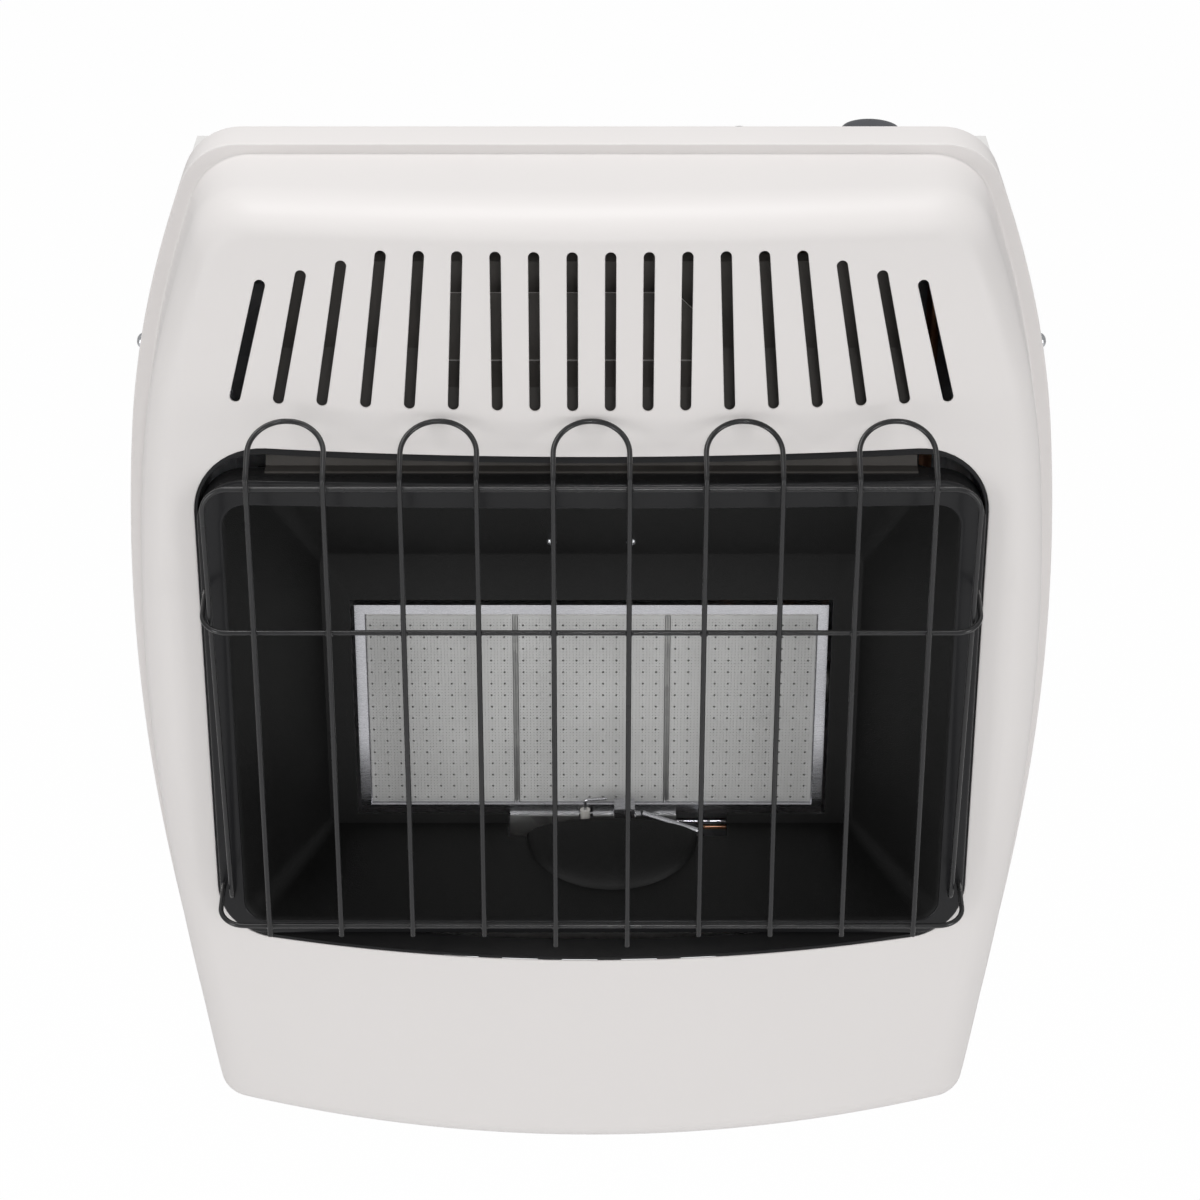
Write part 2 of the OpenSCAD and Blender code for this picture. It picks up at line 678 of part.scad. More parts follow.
// A quarter of an ellipsoid that stands on the sloping floor, drawn in by wall and carried
// down below the floor by drop.
module pilot_hood(wall, drop) {
    back_y = -panel_front - notch_depth;
    turns = 12;
    rises = 4;
    function skin(i, j) = let (
            a = 180 * i / turns,
            e = 90 * j / rises,
            y = back_y + (wall > 0 ? 1 : 0) - (hood_d - wall) * sin(a) * cos(e))
        [hood_x - (hood_w / 2 - wall) * cos(a) * cos(e), y,
            liner_floor(y) + (hood_h - wall) * sin(e)];
    points = concat([for (j = [0:rises - 1], i = [0:turns]) skin(i, j)], [skin(0, rises)],
        [for (i = [0:turns]) skin(i, 0) - [0, 0, sheet + drop]]);
    top = rises * (turns + 1);
    base = top + 1;
    function at(i, j) = j * (turns + 1) + i;
    polyhedron(points, concat(
        [for (j = [0:rises - 2], i = [0:turns - 1], half = [0, 1])
            half == 0 ? [at(i, j), at(i, j + 1), at(i + 1, j)]
                : [at(i + 1, j), at(i, j + 1), at(i + 1, j + 1)]],
        [for (i = [0:turns - 1]) [at(i, rises - 1), top, at(i + 1, rises - 1)]],
        [for (i = [0:turns - 1], half = [0, 1]) half == 0 ? [base + i, at(i, 0), at(i + 1, 0)]
            : [base + i, at(i + 1, 0), base + i + 1]],
        [[for (i = [0:turns]) base + i]],
        [concat([base], [base + turns], [for (j = [0:rises - 1]) at(turns, j)], [top],
            [for (j = [rises - 1:-1:0]) at(0, j)])]));
}

module liner_screw_axes() {
    for (side = [-1, 1]) translate([side * liner_screw_x, liner_screw_y,
            liner_roof(liner_screw_y)])
        rotate([180 - roof_angle, 0, 0]) children();
}

module liner_screws() {
    color("silver") liner_screw_axes() {
        translate([0, 0, 0.1]) cylinder(r = liner_head_r, h = 2);
        translate([0, 0, -5]) cylinder(r = liner_screw_r, h = 5.5);
    }
}

// Upright plates between the back sheet and the firebox frame.
module side_shield() {
    x = frame_half - sheet;
    low = -frame_bottom + firebox_r + 14;
    high = frame_top - firebox_r - 14;
    color("darkgray") difference() {
        union() {
            box([x - sheet, -shield_front, low], [x, -sheet, high]);
            box([x, -2 * sheet, low], [x + shield_back_flange, -sheet, high]);
        }
        for (y = [-150:30:-90]) box([x - 5, y - 4, low + 40], [x + 5, y + 4, high - 60]);
        box([x - 5, tube_y - shield_notch, -tile_drop - shield_notch - 10],
            [x + shield_back_flange + 1, 0, -tile_drop + shield_notch]);
    }
}

module side_shield_left() {
    mirror([1, 0, 0]) side_shield();
}

module side_shield_right() {
    side_shield();
}

// The deflector rests on the frame and throws the warm air forward to the slots.
deflector_half = open_w / 2 - open_corner_r + 2;
deflector_y = -128;
deflector_fold = slot_low + 7.5;
deflector_top = slot_low + 61.5;
deflector_ledge = 12;
seat_y = -frame_front + frame_return;
module heat_deflector() {
    front = seat_y - 8;
    color("dimgray") translate([-deflector_half, 0, 0]) rotate([90, 0, 90])
        linear_extrude(2 * deflector_half) polygon([[front, frame_top],
            [seat_y, frame_top], [seat_y + 1, frame_top + 0.6], [deflector_y, deflector_fold],
            [deflector_y, deflector_top - sheet],
            [deflector_y + deflector_ledge, deflector_top - sheet],
            [deflector_y + deflector_ledge, deflector_top], [deflector_y - sheet, deflector_top],
            [deflector_y - sheet, deflector_fold + 0.4], [seat_y, frame_top + sheet],
            [front, frame_top + sheet]]);
}

// A stepped plate stands on the deflector's slope, behind the middle slots.
baffle_left = -88;
baffle_right = 66;
baffle_y = deflector_y - 12;
baffle_step = 1.8;
baffle_mid = slot_low + 5.5;
baffle_top = slot_low + 47;
baffle_corner = 18;
module slot_baffle() {
    low = frame_top + 10;
    color("dimgray") difference() {
        union() {
            box([baffle_left, baffle_y - sheet, low], [baffle_right, baffle_y, baffle_top]);
            box([baffle_left, baffle_y - sheet - baffle_step, low],
                [baffle_right, baffle_y - sheet, baffle_mid]);
        }
        translate([baffle_left - 1, 0, 0]) rotate([90, 0, 90])
            linear_extrude(baffle_right - baffle_left + 2)
            polygon([[seat_y, frame_top + sheet], [deflector_y - sheet, deflector_fold + 0.4],
                [deflector_y, low - 5], [seat_y, low - 5]]);
        translate([baffle_right, baffle_y, baffle_top]) rotate([0, 45, 0])
            cube([baffle_corner * sqrt(2), 10, baffle_corner * sqrt(2)], center = true);
    }
}

// The burner: a pressed box with a ledge for the plaques and a bright mitred frame.
module at_burner() {
    translate([0, 0, -tile_drop]) children();
}

function tile_x(i) = -tiles_half + tile_w / 2 + i * (tile_w + tile_gap);

module burner_box() {
    tile_back = tile_front - tile_t;
    low = trim_rise - box_half_h;
    high = trim_rise + box_half_h;
    color("silver") at_burner() difference() {
        box([-box_half, -tile_front - 0.2, low], [box_half, -box_back, high]);
        box([-box_half + sheet, -tile_front - 1, low + sheet],
            [box_half - sheet, -tile_back, high - sheet]);
        box([-box_half + ledge, -tile_back - 1, low + ledge],
            [box_half - ledge, -box_back - sheet, high - ledge]);
        translate([box_half, tube_y, 0]) rotate([0, 90, 0])
            cylinder(r = mixer_r + 0.1, h = 40, center = true);
    }
}

module burner_trim() {
    color("gainsboro") at_burner() translate([0, 0, trim_rise]) for (side = [0, 1]) {
        half = side == 0 ? trim_half : trim_half_h;
        across = side == 0 ? trim_half_h : trim_half;
        reach = trim_w + 1;
        for (flip = [0, 1]) rotate([0, 90 * side + 180 * flip, 0]) intersection() {
            translate([0, 0, across]) rotate([90, 0, 90]) linear_extrude(2 * half, center = true)
                polygon([[-trim_front, 0], [-trim_front, -trim_w + trim_bevel],
                    [-trim_front + trim_bevel, -trim_w], [-tile_front - 0.2, -trim_w],
                    [-tile_front - 0.2, -sheet], [-trim_front + trim_skirt, -sheet],
                    [-trim_front + trim_skirt, 0]]);
            rotate([90, 0, 0]) linear_extrude(trim_front + 10)
                polygon([[-half, across], [half, across], [half - reach, across - reach],
                    [reach - half, across - reach]]);
        }
    }
}

module tile_gasket() {
    outer = [box_half - sheet - gasket_gap, box_half_h - sheet - gasket_gap];
    color("ivory") at_burner() difference() {
        box([-outer[0], -tile_front, trim_rise - outer[1]],
            [outer[0], -tile_front + tile_t, trim_rise + outer[1]]);
        box([-tiles_half - gasket_gap, -tile_front - 1, -tile_h / 2 - gasket_gap],
            [tiles_half + gasket_gap, 0, tile_h / 2 + gasket_gap]);
    }
}

module burner_tile(i) {
    color("lightgray") at_burner() box([tile_x(i) - tile_w / 2, -tile_front, -tile_h / 2],
        [tile_x(i) + tile_w / 2, -tile_front + tile_t, tile_h / 2]);
}

module tile_dividers() {
    color("gray") at_burner() for (i = [0:1:tile_count - 2]) {
        x = tile_x(i) + (tile_w + tile_gap) / 2;
        w = tile_gap / 2 - gasket_gap;
        difference() {
            box([x - w, -tile_front, -tile_h / 2], [x + w, -tile_front + tile_t, tile_h / 2]);
            box([x - 0.4, -tile_front - 1, -tile_h], [x + 0.4, -tile_front + 2, tile_h]);
        }
    }
}

// The mixing tube carries gas and air into the box from the right.
module mixing_tube() {
    color("silver") at_burner() translate([0, tube_y, 0]) rotate([0, 90, 0]) rotate_extrude()
        polygon([[mixer_r - mixer_wall - 3, mixer_in], [mixer_r, mixer_in + 4],
            [mixer_r, box_half], [mixer_r + mixer_flange, box_half],
            [mixer_r + mixer_flange, box_half + 1.5], [mixer_r, box_half + 1.5],
            [mixer_r, mixer_end - 10], [mixer_r + 3, mixer_end], [mixer_r + 1.5, mixer_end],
            [mixer_r - mixer_wall, mixer_end - 10], [mixer_r - 5, box_half + 15],
            [mixer_r - mixer_wall - 3, box_half - 15]]);
}

// The injector body: a hexagon block with a nozzle towards the mixing tube and a port on top.
module injector() {
    color("goldenrod") translate([injector_x, tube_y, -tile_drop]) {
        difference() {
            union() {
                rotate([0, 90, 0]) cylinder(d = 16, h = 16, center = true, $fn = 6);
                cylinder(r = 6, h = 14);
                rotate([0, -90, 0]) cylinder(r1 = 4, r2 = 2.5, h = 15);
            }
            translate([0, 0, 4]) cylinder(r = supply_r + 0.1, h = 20);
            rotate([0, -90, 0]) cylinder(r = 0.7, h = 30);
        }
    }
}

// Angle brackets from the back sheet to the burner box, and an arm for the injector.
support_zs = [45, -45];
support_x = 108;
module burner_supports() {
    color("darkgray") at_burner() {
        for (side = [-1, 1], z = support_zs) {
            box([side * support_x - 12, -box_back, z - 1], [side * support_x + 12, -sheet, z + 1]);
            box([side * support_x - 12, -sheet - 1.5, z + 1],
                [side * support_x + 12, -sheet, z + 16]);
        }
        box([injector_x - 8, tube_y - 8, -13], [injector_x + 8, -sheet, -11]);
        box([injector_x - 8, -sheet - 1.5, -26], [injector_x + 8, -sheet, -13]);
        box([injector_x - 4, tube_y - 4, -11], [injector_x + 4, tube_y + 4, -8]);
    }
}

// Gas valve below the deck with its neck through it.
module gas_valve() {
    z0 = valve_low;
    color("darkkhaki") difference() {
        union() {
            box([knob_x - valve_w / 2, tube_y - valve_d / 2, z0 + 8],
                [knob_x + valve_w / 2, tube_y + valve_d / 2, deck_under]);
            translate([knob_x, tube_y, z0]) cylinder(r = 13, h = 9);
            translate([knob_x, tube_y, deck_under - 1]) cylinder(r = neck_r, h = 7.2);
            translate([knob_x + valve_w / 2, tube_y, z0 + 22]) rotate([0, 90, 0])
                cylinder(r = 7, h = 8, $fn = 6);
            translate([knob_x - valve_w / 2, tube_y, z0 + 22]) rotate([0, -90, 0])
                cylinder(r = 8, h = 3.5, $fn = 6);
        }
        translate([knob_x, tube_y, z0 + 12]) cylinder(r = spindle_r + run_gap, h = 100);
        translate([knob_x, tube_y, z0 + 18]) cylinder(r = 8.5, h = 14);
        translate([knob_x + valve_w / 2 + 2, tube_y, z0 + 22]) rotate([0, 90, 0])
            cylinder(r = supply_r + 0.1, h = 20);
        translate([knob_x - valve_w / 2 - 1.5, tube_y, z0 + 22]) rotate([0, -90, 0])
            cylinder(r = inlet_tube_r + 0.1, h = 20);
        translate([knob_x + 16, tube_y, z0 + 4]) cylinder(r = pilot_tube_r + 0.1, h = 10);
        translate([knob_x - 14, tube_y - 8, z0 + 4]) cylinder(r = lead_r + 0.1, h = 10);
    }
}

module valve_nut() {
    color("silver") translate([knob_x, tube_y, deck_z]) difference() {
        cylinder(r = 11, h = 4, $fn = 6);
        translate([0, 0, -1]) cylinder(r = neck_r + 0.1, h = 10);
    }
}

// The collar is pushed down with the spindle but doesn't turn with it.
collar_z = valve_low + 27;
module spindle_collar() {
    color("peru") translate([knob_x, tube_y, collar_z]) difference() {
        cylinder(r = 8, h = 3);
        translate([0, 0, -1]) cylinder(r = spindle_r + 0.05, h = 5);
    }
}

module valve_spindle() {
    low = valve_low + 18;
    color("silver") translate([knob_x, tube_y, low])
        cylinder(r = spindle_r, h = knob_z + knob_h - 4 - low);
}

// The knob: a round body with a domed top, grip notches and a hollow underside.
module control_knob() {
    r = knob_d / 2;
    color([0.12, 0.13, 0.16]) translate([knob_x, tube_y, knob_z]) difference() {
        rotate_extrude($fn = 96) polygon([[0, 0], [r - 0.6, 0], [r, 0.8], [r - 1.5, knob_h - 4],
            [r - 2.6, knob_h - 1.6], [r - 4.6, knob_h - 0.3], [r - 7, knob_h], [0, knob_h]]);
        translate([0, 0, -1]) cylinder(r = r - 5, h = 8);
        translate([0, 0, 4]) cylinder(r = spindle_r + 0.05, h = knob_h - 7.9);
        for (i = [0:11]) rotate(30 * i) translate([r + 1.4, 0, 2]) cylinder(r = 3, h = knob_h);
        translate([-0.6, r - 9, knob_h - 0.6]) cube([1.2, 7, 2]);
    }
}

// Piezo igniter: a threaded barrel through the deck, its nut and its push button.
igniter_len = 48;
module igniter_body() {
    color([0.15, 0.15, 0.15]) translate([button_x, tube_y, deck_z]) difference() {
        union() {
            translate([0, 0, -igniter_len]) cylinder(r = igniter_r, h = igniter_len + 1);
            cylinder(r = igniter_r + 3.5, h = 5);
            translate([-3, -0.5, -igniter_len - 7]) cube([6, 1, 8]);
        }
        translate([0, 0, -16]) cylinder(r = button_d / 2 + run_gap, h = 40);
    }
}

module igniter_nut() {
    color("silver") translate([button_x, tube_y, deck_under - 5]) difference() {
        cylinder(r = igniter_r + 4, h = 5, $fn = 6);
        translate([0, 0, -1]) cylinder(r = igniter_r + 0.1, h = 10);
    }
}

module igniter_button() {
    color([0.1, 0.1, 0.12]) translate([button_x, tube_y, deck_z - 16 + button_push + 1])
        rotate_extrude() polygon([[0, 0], [button_d / 2, 0],
            [button_d / 2, button_top - deck_z + 7 - 1.2],
            [button_d / 2 - 1.2, button_top - deck_z + 7], [0, button_top - deck_z + 7.6]]);
}

// Gas tubes, leads and the pilot.
module burner_supply_tube() {
    color("peru") bar([[knob_x + valve_w / 2 + 2.5, tube_y, supply_z],
        [injector_x, tube_y, supply_z], [injector_x, tube_y, -tile_drop + 4.5]], supply_r, 9);
}

feed_y = -18;
module gas_feed_tube() {
    low = regulator_z + regulator_h / 2 + 1;
    color("peru") bar([[knob_x - valve_w / 2 - 1.7, tube_y, supply_z],
        [regulator_x, tube_y, supply_z], [regulator_x, tube_y, valve_low - 20],
        [regulator_x, feed_y, valve_low - 20], [regulator_x, feed_y, low + 25],
        [regulator_x, tube_y, low + 25], [regulator_x, tube_y, low]], inlet_tube_r, 10);
}

module pilot_tube() {
    x = knob_x + 16;
    color("silver") bar([[x, tube_y, valve_low + 11], [x, tube_y, valve_low - 26],
        [x, duct_y, valve_low - 26], [x, duct_y, pilot_run_z], [x, pilot_run_y, pilot_run_z],
        [pilot_x, pilot_run_y, pilot_run_z], [pilot_x, pilot_y, pilot_run_z],
        [pilot_x, pilot_y, pilot_low + 9]], pilot_tube_r, 5);
}

sensor_y = pilot_y - 5;
sensor_seat = pilot_low + 19;
module thermocouple() {
    x = knob_x - 14;
    y = tube_y - 8;
    run_y = duct_y - 9;
    run_z = pilot_run_z - 10;
    color("peru") bar([[x, y, valve_low + 11], [x, y, valve_low - 33], [x, run_y, valve_low - 33],
        [x, run_y, run_z], [sensor_x, run_y, run_z], [sensor_x, sensor_y, run_z],
        [sensor_x, sensor_y, sensor_seat]], lead_r, 5);
}

module thermocouple_tip() {
    color("silver") bent_bar([[sensor_x, sensor_y, sensor_seat],
        [sensor_x, sensor_y, sensor_seat + 6], [pilot_x + 11, sensor_y, sensor_seat + 20]],
        lead_r + 0.6, 6, [0, 1, 0]);
}

module ignition_lead() {
    low = deck_z - igniter_len - 7.3;
    back = -15;
    z = pilot_low + 3;
    color("darkorange") bar([[button_x, tube_y, low], [button_x, tube_y, low - 16],
        [button_x, back, low - 16], [button_x, back, z], [spark_x, back, z],
        [spark_x, spark_y, z], [spark_x, spark_y, spark_z - 0.2]], spark_lead_r, 5);
}

pilot_shelf_back = 62;
pilot_hood_z = 33;
pilot_left = -52;
pilot_right = 54;
pilot_screw_xs = [pilot_left + 12.5, pilot_right - 11];
pilot_screw_z = pilot_low + 16;
pilot_screw_r = 1.5;
module pilot_screw_axes() {
    for (x = pilot_screw_xs) translate([x, pilot_y - 0.5, pilot_screw_z]) rotate([90, 0, 0])
        children();
}

module pilot_screws() {
    color("silver") pilot_screw_axes() {
        cylinder(r = 2.8, h = 1.8);
        translate([0, 0, -5]) cylinder(r = pilot_screw_r, h = 5.5);
    }
}

module pilot_bracket() {
    color("darkkhaki") difference() {
        union() {
            box([pilot_left, pilot_y - 0.5, pilot_low - 3],
                [pilot_right, pilot_y + 1, pilot_plate_top]);
            box([pilot_left, pilot_y, pilot_shelf_z - 1.5],
                [pilot_right, -pilot_shelf_back, pilot_shelf_z]);
        }
        pilot_screw_axes() cylinder(r = pilot_screw_r + screw_gap, h = 10, center = true);
        translate([pilot_x, pilot_y, pilot_low - 11]) cylinder(r = 4.6, h = 60);
        box([pilot_x - 4.6, pilot_y - 5, pilot_low + 4],
            [pilot_x + 4.6, pilot_y + 4, pilot_low + 39]);
        box([pilot_x - 6.2, pilot_y - 5, pilot_low - 0.5],
            [pilot_x + 6.2, pilot_y + 4, pilot_low + 4.4]);
        box([pilot_x - 7, pilot_y - 5, pilot_low + pilot_hood_z - 0.5],
            [pilot_x + 7, pilot_y + 4, pilot_low + pilot_hood_z + 6]);
        box([spark_x - 4, pilot_y - 5, pilot_low - 0.5],
            [spark_x + 5, pilot_y + 9, pilot_low + 36]);
    }
}

// Pilot burner: a stepped body with a slotted hood over its flame ports.
module pilot_burner() {
    color("silver") translate([pilot_x, pilot_y, pilot_low]) difference() {
        union() {
            cylinder(r = 5.8, h = 4, $fn = 6);
            cylinder(r = 4.2, h = pilot_hood_z);
            translate([-6.5, -8, pilot_hood_z]) cube([13, 13, 11]);
        }
        translate([0, 0, -1]) cylinder(r = pilot_tube_r + 0.1, h = 12);
        translate([-5.3, -6.8, pilot_hood_z + 1]) cube([20, 10.6, 8.8]);
    }
}

// Spark electrode: a ceramic sleeve with a wire that bends over to the pilot's hood.
spark_wire_r = 0.9;
spark_seat = 12;
spark_y = pilot_y + 3;
spark_z = pilot_low + 11;
module spark_electrode() {
    color("white") translate([spark_x, spark_y, spark_z]) difference() {
        cylinder(r = 3.2, h = 26);
        translate([0, 0, spark_seat]) cylinder(r = spark_wire_r + 0.05, h = 20);
    }
}

module spark_wire() {
    color("silver") translate([spark_x, spark_y, spark_z]) bent_bar([[0, 0, spark_seat],
        [0, 0, 33], [14, -3, 36]], spark_wire_r, 2, [0, 1, 0]);
}

// Gas regulator on its shelf, with the pipe end for the gas supply pointing down.
inlet_neck_r = inlet_r - 1.2;
inlet_len = 19;
module gas_regulator() {
    top = regulator_z + regulator_h / 2;
    low = regulator_z - regulator_h / 2;
    color("silver") translate([regulator_x, tube_y, 0]) difference() {
        union() {
            translate([0, 0, low]) cylinder(r = 20, h = regulator_h);
            translate([0, 0, regulator_z - 6]) cylinder(r = regulator_w / 2 + 2, h = 12);
            translate([0, 0, top]) cylinder(r = 9, h = 8, $fn = 6);
            translate([0, 0, base_z]) cylinder(r = inlet_neck_r, h = low - base_z + 1);
            translate([0, 0, base_z - 14]) cylinder(r = inlet_r, h = inlet_len);
        }
        translate([0, 0, top]) cylinder(r = inlet_tube_r + 0.1, h = 20);
        translate([0, 0, base_z - 15]) cylinder(r = inlet_r - 2.3, h = 20);
    }
}

module regulator_shelf() {
    low = regulator_z - regulator_h / 2;
    color("darkgray") difference() {
        union() {
            box([regulator_x - 24, tube_y - 22, low - 1.5], [regulator_x + 24, -sheet, low]);
            box([regulator_x - 24, -sheet - 1.5, low], [regulator_x + 24, -sheet, low + 26]);
        }
        translate([regulator_x, tube_y, low - 5]) cylinder(r = inlet_neck_r + 0.3, h = 20);
    }
}

// The guard: hairpin bars welded in front of three bars that hook into the firebox frame.
bar_y = -(leg_front - wire_d);
cross_bend = 15.5;
knee_bend = 5;
hairpin_front = face_depth + bow_top + wire_d / 2 + 0.9;
side_run_x = hole_half + 6.4;
guard_in = -frame_front + 6;
guard_knee = -frame_front - 8;
cross_x = side_run_x + wire_d + 2;
bar_ends = [[side_run_x, 5 - leg_bottom], [cross_x, mid_bar_z + 8], [cross_x, 6 - bottom_bar_z]];
module hairpin(i) {
    pitch = min(leg_pitch, (side_run_x - 24) / (hairpins - 0.5));
    x = (i - (hairpins + 1) / 2) * 2 * pitch;
    low = -leg_bottom - (i == (hairpins + 1) / 2 ? middle_extra : 0);
    half = pitch / 2;
    top_bend = half - 0.5;
    color([0.08, 0.08, 0.09]) bent_bar([[x - half, -leg_front, low],
        [x - half, -leg_front, hairpin_knee], [x - half, -hairpin_front, hairpin_top],
        [x + half, -hairpin_front, hairpin_top], [x + half, -leg_front, hairpin_knee],
        [x + half, -leg_front, low]],
        wire_d / 2, [0, knee_bend, top_bend, top_bend, knee_bend, 0], [0, 1, -0.3]);
}

// Where the bars' ends enter the firebox frame, Z pointing into it.
module guard_ends() {
    for (side = [-1, 1], end = bar_ends)
        translate([side * end[0], -frame_front, end[1]]) rotate([-90, 0, 0]) children();
}

module guard_top_bar() {
    x = side_run_x;
    z = bar_ends[0][1];
    color([0.08, 0.08, 0.09]) bent_bar([[-x, guard_in, z], [-x, guard_knee, z],
        [-x, bar_y, top_bar_z], [x, bar_y, top_bar_z], [x, guard_knee, z], [x, guard_in, z]],
        wire_d / 2, [0, knee_bend, cross_bend, cross_bend, knee_bend, 0], [0.1, 1, 0.3]);
}

module cross_bar(z, end) {
    color([0.08, 0.08, 0.09]) bent_bar([[-end[0], guard_in, end[1]],
        [-end[0], guard_knee, end[1]], [-end[0], bar_y, z], [end[0], bar_y, z],
        [end[0], guard_knee, end[1]], [end[0], guard_in, end[1]]], wire_d / 2,
        [0, knee_bend, cross_bend, cross_bend, knee_bend, 0]);
}

module guard_middle_bar() {
    cross_bar(mid_bar_z, bar_ends[1]);
}

module guard_bottom_bar() {
    cross_bar(-bottom_bar_z, bar_ends[2]);
}

front_cover();
cover_screws();
opening_lining();
case_back();
case_side_left();
case_side_right();
case_top();
case_bottom();
wall_bracket();
firebox_frame();
firebox_liner();
liner_screws();
side_shield_left();
side_shield_right();
heat_deflector();
slot_baffle();
burner_box();
burner_trim();
tile_gasket();
burner_tile(0);  // burner_tile_1
burner_tile(1);  // burner_tile_2
burner_tile(2);  // burner_tile_3
tile_dividers();
mixing_tube();
injector();
burner_supports();
burner_supply_tube();
gas_valve();
valve_nut();
spindle_collar();
valve_spindle();
control_knob();
igniter_body();
igniter_nut();
igniter_button();
ignition_lead();
gas_regulator();
regulator_shelf();
gas_feed_tube();
pilot_bracket();
pilot_burner();
pilot_screws();
pilot_tube();
thermocouple();
thermocouple_tip();
spark_electrode();
spark_wire();
hairpin(1);  // guard_hairpin_1
hairpin(2);  // guard_hairpin_2
hairpin(3);  // guard_hairpin_3
hairpin(4);  // guard_hairpin_4
hairpin(5);  // guard_hairpin_5
guard_top_bar();
guard_middle_bar();
guard_bottom_bar();
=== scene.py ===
import bpy
import bmesh
from math import sin, cos, tan, atan, pi, radians, sqrt, hypot
from mathutils import Vector, Matrix, kdtree
from mathutils.geometry import delaunay_2d_cdt


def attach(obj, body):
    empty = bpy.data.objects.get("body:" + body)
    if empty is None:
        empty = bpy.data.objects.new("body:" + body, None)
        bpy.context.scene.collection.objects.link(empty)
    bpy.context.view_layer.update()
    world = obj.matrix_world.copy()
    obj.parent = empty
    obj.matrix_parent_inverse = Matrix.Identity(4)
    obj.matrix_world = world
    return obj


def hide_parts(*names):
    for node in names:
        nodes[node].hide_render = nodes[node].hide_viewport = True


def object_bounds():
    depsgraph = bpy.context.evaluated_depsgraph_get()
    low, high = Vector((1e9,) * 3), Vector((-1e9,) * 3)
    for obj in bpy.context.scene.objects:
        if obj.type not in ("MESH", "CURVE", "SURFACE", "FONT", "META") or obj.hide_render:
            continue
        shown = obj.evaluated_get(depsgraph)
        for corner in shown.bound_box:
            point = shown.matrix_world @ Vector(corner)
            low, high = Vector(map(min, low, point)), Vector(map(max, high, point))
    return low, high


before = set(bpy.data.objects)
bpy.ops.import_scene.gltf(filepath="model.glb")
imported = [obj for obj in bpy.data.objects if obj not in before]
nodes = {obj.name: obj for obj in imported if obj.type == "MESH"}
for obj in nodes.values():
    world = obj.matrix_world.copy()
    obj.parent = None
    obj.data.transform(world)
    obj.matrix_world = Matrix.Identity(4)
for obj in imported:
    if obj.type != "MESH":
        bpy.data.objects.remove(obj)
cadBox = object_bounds()
mm = 0.001  # sizes in the dictionaries are in millimetres


def feed(tree, socket, value):
    if isinstance(value, bpy.types.NodeSocket):
        tree.links.new(value, socket)
    else:
        socket.default_value = value


def addNode(tree, kind, inputs=None, **settings):
    # a node with its settings, then its inputs, each a value or another node's output
    node = tree.nodes.new(kind)
    for name, value in settings.items():
        setattr(node, name, value)
    for name, value in (inputs or {}).items():
        feed(tree, node.inputs[name], value)
    return node


# camera, floor and light

view = {"lens": 97.5, "pitch": 28.0, "distance": 1.9961, "aimY": -0.100, "aimZ": 0.012, "shift": 0.0071}


def placeCamera():
    data = bpy.data.cameras.new("photoCamera")
    data.lens = view["lens"]
    data.sensor_width = 36
    data.sensor_fit = "HORIZONTAL"
    data.shift_x = view["shift"]
    data.clip_end = 50
    camera = bpy.data.objects.new("photoCamera", data)
    down = radians(view["pitch"])
    camera.location = (0, view["aimY"] - view["distance"] * cos(down), view["aimZ"] + view["distance"] * sin(down))
    camera.rotation_euler = (pi / 2 - down, 0, 0)
    bpy.context.scene.collection.objects.link(camera)
    bpy.context.scene.camera = camera


lamps = [
    # name, place, aim, size, power
    ("frontKey", (0.08, -2.32, 1.16), (0, -0.15, 0), (0.16, 0.16), 9),
    ("topSoftbox", (-0.1, 0.15, 1.9), (0, -0.1, 0.1), (1.4, 0.5), 21),
    ("leftSoftbox", (-1.9, -1.7, 0.2), (0, -0.1, 0), (0.7, 1.6), 17),
    ("rightSoftbox", (1.9, -1.7, 0.2), (0, -0.1, 0), (0.7, 1.6), 17),
    ("lowSoftbox", (0.1, -2.4, -0.9), (0, -0.1, -0.1), (1.8, 0.6), 4),
]


def placeLamps():
    for name, place, aim, size, power in lamps:
        data = bpy.data.lights.new(name, "AREA")
        data.shape = "RECTANGLE"
        data.size, data.size_y = size
        data.energy = power
        lamp = bpy.data.objects.new(name, data)
        lamp.location = place
        lamp.rotation_euler = (Vector(aim) - Vector(place)).to_track_quat("-Z", "Y").to_euler()
        bpy.context.scene.collection.objects.link(lamp)


def seenDirectly(tree):
    # 1 for rays from the camera, so that the background is white without lighting the heater more
    path = addNode(tree, "ShaderNodeLightPath")
    rays = {0: path.outputs["Is Camera Ray"], 1: path.outputs["Is Transmission Ray"]}
    return addNode(tree, "ShaderNodeMath", rays, operation="MAXIMUM").outputs[0]


surround = {"light": 0.42, "floorDrop": 0.55, "floorGlow": 0.985, "floorHalf": 9, "floorShade": 0.86, "floorRough": 0.9}


